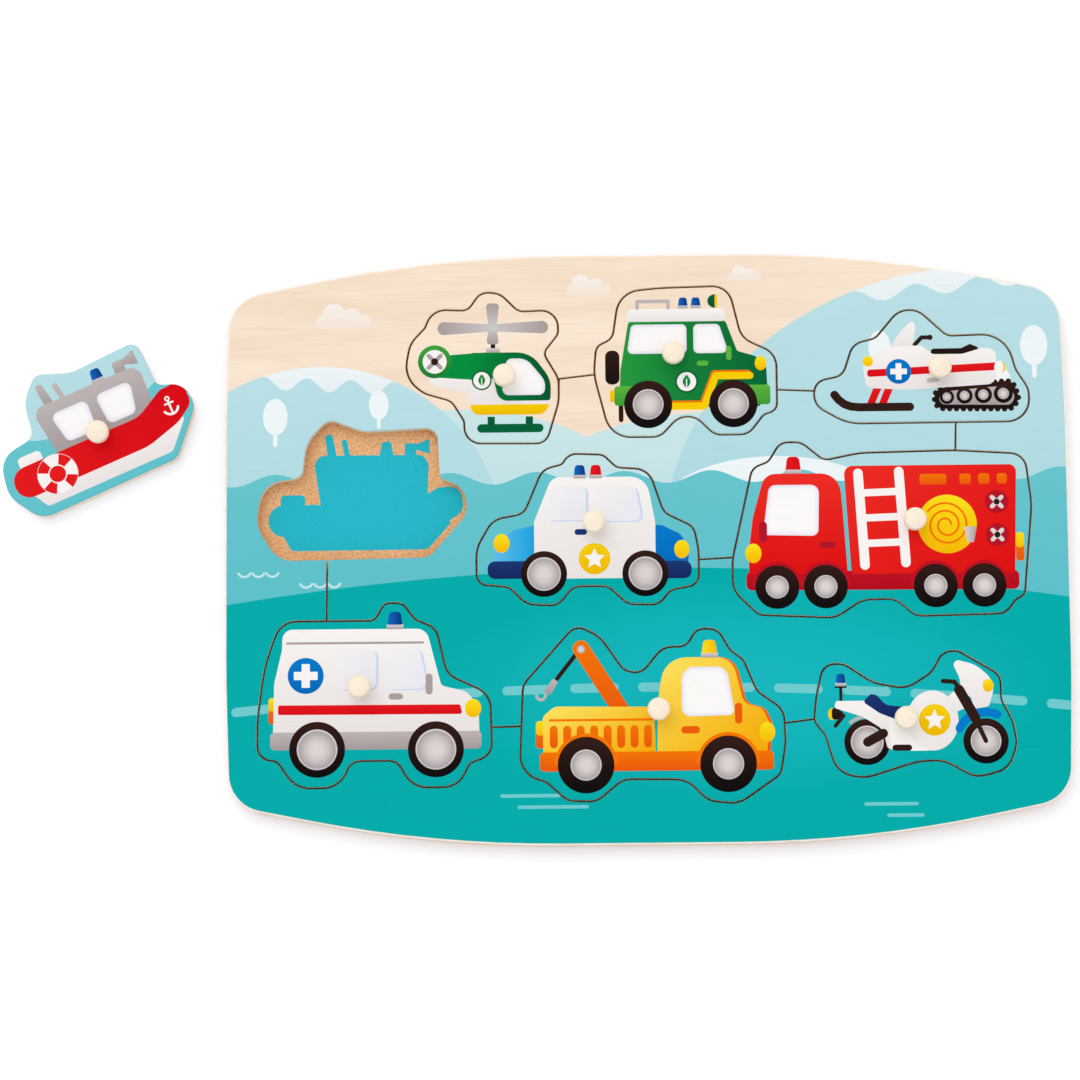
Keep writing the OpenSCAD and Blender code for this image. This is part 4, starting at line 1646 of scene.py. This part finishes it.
@dataclass
class FireEngine(Wheeled):
    """Fire engine with a ladder and a hose reel on its side."""

    name: str = "fire_engine"
    width: float = 106.5
    height: float = 63.0
    peg_share: Spot = (0.605, 0.542)
    wheels: Spots = ((15.7, 11.1), (32.9, 11.1), (71.8, 11.1), (89, 11.1))
    tyre_r: float = 7.8
    hub_r: float = 4.1
    rails: Spots = ((46.9, 18.6, 45, 51.5), (61.4, 19.4, 59.5, 52))
    rungs: tuple[float, ...] = (26.3, 35.4, 44.4)
    lean: float = 0.058
    reel: Spot = (76.3, 33)
    valves_x: float = 94.0

    def draw(self, pen: Pen) -> None:
        """Draws the fire engine.

        Args:
            pen: gathers the patches.
        """
        pen.beacon(22, 51.4, 6.0, RED)
        pen.tail_lamp(100.4, 19.6, 103.4, 29.8, 24.4, 1.2)
        pen.slab([(4.8, 10), (101.4, 9.6), (101.4, 16.4), (4.8, 16.8)], CRIMSON, 2)
        pen.slab([(5.8, 15.5, 1), (40.8, 15.5, 1), (39.4, 38, 20), (38.3, 51.6, 7.5), (11.8, 51.6, 5),
            (7.4, 36, 20), (5.8, 24, 10)], FLAME)
        pen.slab([(42.1, 15.5, 1), (100, 15.5, 1), (101.2, 54.2, 2.6),
            (39.9, 54.2, 3)], FLAME, blend=Blend.SLANT)
        pen.window([(10.9, 29.7, 1.6), (30.6, 29.2, 2.4), (31.1, 47.6, 3), (13.3, 47.6, 2.6)])
        for rail in self.rails:
            pen.bar(*rail, 3.4, WHITE)
        for y in self.rungs:
            left, right = (x0 - self.lean * (y - y0) for x0, y0, _, _ in self.rails)
            pen.bar(left, y, right, y + 0.5, 2.6, WHITE)
        pen.disc(*self.reel, 10.5, LAMP, blend=Blend.DOWN)
        pen.coil(76, 32.7, 1.6, 8.2, 2.4, 0.7, ORANGE)
        pen.slab([(83.4, 26.4, 0.4), (85.6, 26.4, 0.4), (86.8, 32, 0.3),
            (82.2, 32, 0.3)], SILVER, blend=Blend.ACROSS)
        for x0, x1 in ((66.8, 76.4), (81, 85), (87.6, 91.6), (94.2, 97.8)):
            pen.box(x0, 47.2, x1, 51, ORANGE, 1)
        for y in (40.8, 29):
            pen.disc(self.valves_x, y, 4.2, CRIMSON)
            pen.disc(self.valves_x, y, 3.6, MAROON)
            pen.spokes(self.valves_x, y, 2.4, 1.5, SILVER)
            pen.disc(self.valves_x, y, 1.1, BLACK)
        pen.bar(11, 28.4, 11, 33.2, 2.8, MAROON)
        pen.bar(32, 26, 35.6, 26, 2.3, MAROON)
        for x, y in self.wheels:
            pen.arch(x, y + 0.1, 7, 8.9, 0, 180, CRIMSON)
        pen.headlamp(7.4, 23.2, 2.9, 3.5)
        self.draw_wheels(pen)


@dataclass
class Ambulance(Wheeled):
    """Ambulance van."""

    name: str = "ambulance"
    width: float = 83.0
    height: float = 65.5
    peg_share: Spot = (0.44, 0.539)
    wheels: Spots = ((21.2, 13.6), (63.2, 13.4))
    tyre_r: float = 9.9
    hub_r: float = 7.2

    def draw(self, pen: Pen) -> None:
        """Draws the ambulance.

        Args:
            pen: gathers the patches.
        """
        pen.tail_lamp(4, 22.8, 7.4, 32, 27.2, 1)
        pen.slab([(5.6, 19, 1), (78.6, 19, 1), (78.4, 28, 4), (74.4, 33.8, 6), (68, 35.2, 3),
            (65.2, 36, 2), (60, 56.2, 4.5), (9, 56.3, 4.5), (8.8, 49, 6), (6, 37, 8)], WHITE)
        pen.box(4.6, 13.5, 79.3, 19.8, GREY, 1.6)
        pen.bar(10.6, 51.4, 58.8, 51.3, 0.8, STEEL)
        pen.pane([(28.6, 34.4), (43, 34.4), (43, 48.8), (28.6, 48.8)], 2.8)
        pen.pane([(46.2, 34.4), (61.4, 34.4), (58.4, 48.8), (46.2, 48.8)], 2.8)
        pen.slab([(7.4, 26, 0.6), (72.6, 25.8, 0.8), (71.9, 29.2, 0.8), (7.4, 29.4, 0.6)], RED)
        pen.bar(47.6, 32.2, 50.6, 32.2, 2.2, STEEL)
        pen.bar(60.9, 34, 60.9, 39, 2.5, STEEL)
        pen.plus(17.2, 39.8, 6.4)
        pen.headlamp(76.4, 27.8, 2.9, 3.3)
        pen.beacon(48.9, 56.1, 5.9, LAMP_BLUE)
        self.draw_wheels(pen)


@dataclass
class TowTruck(Wheeled):
    """Tow truck with a crane."""

    name: str = "tow_truck"
    width: float = 93.5
    height: float = 62.5
    peg_share: Spot = (0.5215, 0.527)
    wheels: Spots = ((23, 13.8), (73.2, 13.8))
    tyre_r: float = 10.0
    hub_r: float = 5.5
    slat_step: float = 4.75
    cab_middle: float = 60.0
    cab_edge: float = 1.1

    def draw(self, pen: Pen) -> None:
        """Draws the tow truck.

        Args:
            pen: gathers the patches.
        """
        pen.bar(20.4, 53.8, 13, 44.4, 1.5, BLACK)
        pen.slab([(11.6, 44.6, 0.8), (13.4, 43.4, 0.8), (10.6, 38.6, 1), (8, 39.6, 1)], GREY)
        pen.arch(7.3, 38.6, 1.1, 2.1, 170, 380, GREY)
        pen.bar(21.6, 55, 35.6, 33, 6, ORANGE, Blend.DOWN)
        pen.disc(21.6, 54.8, 1.5, SILVER, blend=Blend.ROUND)
        pen.tail_lamp(5.4, 19.8, 9, 29.5, 24.4, 1.2)
        pen.slab([(8, 17.5, 1), (47.6, 17.5, 0.5), (47.2, 34.2, 0.5), (12, 34.6, 4),
            (7.8, 31, 3)], YELLOW, blend=Blend.SLANT)
        pen.bar(10.4, 29.7, 46.4, 29.7, 0.8, ORANGE)
        for x in np.arange(11.7, 46, self.slat_step):
            pen.bar(x, 21.2, x, 26.4, 2.8, ORANGE, Blend.DOWN)
        cab = [(48.2, 17.5, 0.5), (88, 17.5, 1), (89, 28, 4), (86.5, 33.5, 4), (80, 35.2, 4),
            (76, 51.6, 7), (51, 51.6, 9), (48.6, 36, 8)]
        pen.slab(cab, ORANGE)
        inner = [(x - self.cab_edge * (x > self.cab_middle), y, r) for x, y, r in cab]
        pen.slab(inner, YELLOW, blend=Blend.SLANT)
        pen.box(6.7, 11.6, 89.2, 18.4, ORANGE, 1.6)
        pen.window([(57, 30.6, 3), (75.8, 31, 2), (73.4, 46, 3), (71, 48.2, 3), (59.5, 48.2, 3),
            (57, 45, 3)])
        pen.bar(58, 25.9, 62, 25.9, 2.6, RUST)
        pen.bar(77, 29.2, 77, 34, 2.6, RUST)
        for x, y in self.wheels:
            pen.arch(x, y, 8, 11.2, 0, 180, ORANGE)
        pen.headlamp(87, 24.9, 2.8, 3.6)
        pen.beacon(67, 51.4, 6.0, LAMP)
        self.draw_wheels(pen)


@dataclass
class Motorcycle(Vehicle):
    """Police motorcycle with a light on a mast."""

    name: str = "motorcycle"
    width: float = 71.0
    height: float = 44.5
    peg_share: Spot = (0.449, 0.46)
    rear: Spot = (18.5, 12.4)
    front: Spot = (60.3, 12.4)

    def draw(self, pen: Pen) -> None:
        """Draws the motorcycle.

        Args:
            pen: gathers the patches.
        """
        pen.disc(6.2, 22.4, 1.3, GOLD, 2.1)
        pen.slab([(6.2, 20.6), (8.2, 20.4), (11, 22.4), (8, 24.6), (6.2, 24.4)], BLACK, 1)
        pen.bar(7.4, 18.2, 10.4, 21.8, 1.4, BLACK)
        pen.bar(9.5, 26.6, 9.5, 31.8, 1.1, BLACK)
        pen.box(7.4, 31.6, 11.6, 32.4, BLACK, 0.2)
        pen.beacon(9.5, 32.2, 3.8, LAMP_BLUE, 4.4)
        pen.wheel(*self.rear, 8.1, 5.8)
        pen.wheel(*self.front, 8.0, 5.4)
        pen.arch(*self.rear, 8.4, 9.6, 62, 132, GREY)
        pen.slab([(7, 24.6, 1), (7.8, 27, 0.8), (18, 27, 2), (30, 22, 3), (33, 12, 4), (27, 9.6, 1.5),
            (25.6, 10.4, 1), (24, 17, 5), (17, 21.4, 4)], WHITE)
        pen.slab([(27, 9.2, 2), (44, 9.2, 4), (44, 28, 4), (33, 25, 4),
            (26, 22, 4)], WHITE, blend=Blend.FLAT)
        pen.disc(41.7, 19.8, 9.1, WHITE, 10.6, Blend.SLANT)
        pen.slab([(17.2, 26.6, 1), (20, 29.4, 1.2), (22, 29, 1), (25.4, 25.4, 4), (33, 24.6, 1),
            (30, 19.8, 1), (23, 22.6, 4)], NAVY)
        pen.bar(28.4, 10.3, 33.2, 10.3, 2.2, BLACK)
        pen.bar(18.7, 12.4, 24.2, 15.4, 3.4, BLACK)
        pen.slab([(48.2, 22), (53.2, 24, 0.6), (50, 30.6, 1), (47, 28)], WHITE, 1)
        pen.slab([(48.2, 41.8, 1.6), (57.4, 39.4, 12), (64.2, 33, 8), (61.6, 24.6, 1.4),
            (56.4, 23.8, 1), (55.4, 28, 2), (52.2, 29.4, 2), (51.4, 35, 8)], WHITE)
        pen.headlamp(61.5, 32, 1.95, 2.3)
        pen.trail(arc(*self.front, 10.2, 10.2, 66, 154), 3.0, BLUE)
        pen.trail([(45.6, 33.7), (49.6, 33.4), (51.4, 31)], 1.6, BLACK)
        pen.bar(51.2, 30.6, 56.8, 20.4, 3.6, BLACK)
        pen.bar(56.6, 20.6, *self.front, 1.6, BLACK)
        pen.medal(42.4, 20, 5.6)


# The board


@dataclass
class Board:
    """The tray: the printed panel with its openings, and the hardboard back under it."""

    panel_t: float = 6.0
    panel_ease: float = 1.0
    panel_wrapped: int = 1
    pocket_ease: float = 0.25
    pocket_wrapped: int = 4
    back_t: float = 3.0
    back_ease: float = 0.8

    def build_panel(self, landscape: Sequence[Patch], finishes: Finishes) -> Piece:
        """Builds the panel: its print, the eased edge round it, and the sawn walls of its openings.

        Args:
            landscape: the print.
            finishes: the puzzle's finishes.

        Returns:
            The panel.
        """
        loops = sorted(top_loops("tray_panel"), key=signed_area)
        borders = [loops[-1], *(loop - self.pocket_ease * mitres(loop) for loop in loops[:-1])]
        plate, feet = Plate(), []
        for loop in plate.cover(borders, landscape, self.panel_t):
            outside = signed_area(plate.points[0][loop][:, :2]) > 0
            ease = self.panel_ease if outside else self.pocket_ease
            wrapped = self.panel_wrapped if outside else self.pocket_wrapped
            feet.append(plate.carry(loop, [*quarter(ease, self.panel_t, wrapped), (ease, 0.0, Face.WALL)]))
        plate.close(feet, Face.BACK)
        panel = plate.make("printed_panel", finishes.plywood(), Matrix.Translation((0, 0, self.back_t * MM)))
        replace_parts(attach(panel, "board"), "tray_panel")
        return panel

    def build_back(self, shapes: Sequence[Patch], finishes: Finishes) -> Piece:
        """Builds the back, with the vehicles' shapes printed on the floor of the pockets.

        Args:
            shapes: the vehicles' patches.
            finishes: the puzzle's finishes.

        Returns:
            The back.
        """
        outer = max(top_loops("backing_board"), key=signed_area)
        printed = [Patch(patch.outline, SHADOW_PRINT, Blend.FLAT) for patch in shapes]
        plate = Plate()
        loop = plate.cover([outer], printed, self.back_t)[0]
        foot = plate.carry(loop, [(0.0, self.back_ease, Face.WALL), *quarter_under(self.back_ease, 0.0, 0.0)])
        plate.close([foot], Face.BACK)
        back = plate.make("hardboard_back", finishes.hardboard(), Matrix.Identity(4))
        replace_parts(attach(back, "board"), "backing_board")
        return back


# The studio


@dataclass
class Studio:
    """White floor, soft light from the upper left, and a camera above the board."""

    floor_half: float = 4.0
    floor_drop: float = 0.0003
    floor_white: Colour = (238, 242, 249)
    floor_glow: float = 0.2
    sky_strength: float = 0.8
    sun_strength: float = 0.68
    sun_angle: float = 45.0
    sun_from: tuple[float, float, float] = (-0.25, 0.45, 1.0)
    target: tuple[float, float, float] = (-37.815, 2.775, 9.0)
    distance: float = 1300.0
    lens: float = 121.95
    sensor: float = 36.0
    tilt: float = 7.139
    roll: float = -7.504
    heading: float = 6.9545

    def build(self) -> None:
        """Builds the floor, the light and the camera."""
        self.build_floor()
        self.build_light()
        self.build_camera()

    def build_floor(self) -> None:
        """Flat floor. It shines a little towards the camera and gloss alone, which takes it up to white."""
        half = self.floor_half
        mesh = bpy.data.meshes.new("floor")
        corners = ((-half, -half), (half, -half), (half, half), (-half, half))
        mesh.from_pydata([(x, y, -self.floor_drop) for x, y in corners], [], [(0, 1, 2, 3)])
        graph, material = Graph.of_material("floor")
        matt = graph.add("BsdfDiffuse", {"Color": rgba(self.floor_white)})
        strength = self.seen(graph, 0.0, self.floor_glow)
        glow = graph.add("Emission", {"Color": rgba((255, 255, 255)), "Strength": strength})
        graph.add("OutputMaterial", {"Surface": graph.add("AddShader", {0: matt, 1: glow})})
        mesh.materials.append(material)
        put("floor", mesh)

    def seen(self, graph: Graph, unseen: float, seen: float) -> Socket:
        """One value for rays from the camera and off gloss or through glass, another for all others.

        Args:
            graph: the shader's graph.
            unseen: the value for all other rays.
            seen: the value for those rays.

        Returns:
            The value.
        """
        kinds = ("Is Camera Ray", "Is Glossy Ray", "Is Transmission Ray")
        direct, glossy, through = (graph.add("LightPath", {}, kind) for kind in kinds)
        either = graph.add("Math", {0: direct, 1: glossy}, operation="MAXIMUM")
        any_of = graph.add("Math", {0: either, 1: through}, operation="MAXIMUM")
        return graph.span(any_of, 0.0, 1.0, unseen, seen)

    def build_light(self) -> None:
        """Even sky, and a broad lamp far off."""
        world = bpy.data.worlds.new("studio")
        world.use_nodes = True
        graph = Graph(world.node_tree)
        strength = self.seen(graph, self.sky_strength, 1.0)
        sky = graph.add("Background", {"Color": rgba((255, 255, 255)), "Strength": strength})
        graph.add("OutputWorld", {"Surface": sky})
        bpy.context.scene.world = world
        lamp = bpy.data.lights.new("key", "SUN")
        lamp.energy = self.sun_strength
        lamp.angle = math.radians(self.sun_angle)
        key = bpy.data.objects.new("key", lamp)
        key.rotation_euler = Vector(self.sun_from).to_track_quat("Z", "Y").to_euler()
        bpy.context.scene.collection.objects.link(key)

    def build_camera(self) -> None:
        """Camera above its target: tilted, turned to its heading and rolled about its line of sight."""
        turn = Matrix.Rotation(math.radians(self.heading), 3, "Z")
        tilt, roll = math.radians(self.tilt), math.radians(self.roll)
        right = turn @ Vector((1, 0, 0))
        ahead = turn @ Vector((0, math.sin(tilt), -math.cos(tilt)))
        up = turn @ Vector((0, math.cos(tilt), math.sin(tilt)))
        across = math.cos(roll) * right + math.sin(roll) * up
        upward = math.cos(roll) * up - math.sin(roll) * right
        data = bpy.data.cameras.new("camera")
        data.lens, data.sensor_width = self.lens, self.sensor
        camera = bpy.data.objects.new("camera", data)
        axes = Matrix((across, upward, -ahead)).transposed().to_4x4()
        camera.matrix_world = Matrix.Translation((Vector(self.target) - self.distance * ahead) * MM) @ axes
        bpy.context.scene.collection.objects.link(camera)
        bpy.context.scene.camera = camera


def main() -> None:
    """Builds the puzzle piece by piece, then the studio round it, and notes the sizes."""
    logging.basicConfig(level=logging.INFO, format="%(message)s")
    bpy.context.scene.view_settings.view_transform = "Standard"
    finishes, board, peg = Finishes(), Board(), Peg()
    kinds = (Helicopter, OffroadCar, Snowmobile, Boat, PoliceCar, FireEngine, Ambulance, TowTruck, Motorcycle)
    vehicles = [kind() for kind in kinds]
    landscape = Landscape().draw()
    pieces = [board.build_panel(landscape, finishes),
        board.build_back([patch for vehicle in vehicles for patch in vehicle.print_patches()], finishes)]
    for vehicle in vehicles:
        pieces += vehicle.build(landscape, peg, finishes)
    for piece in pieces:
        log.info("%s: %d faces", piece.name, len(piece.data.polygons))
    Studio().build()


if __name__ == "__main__":
    main()
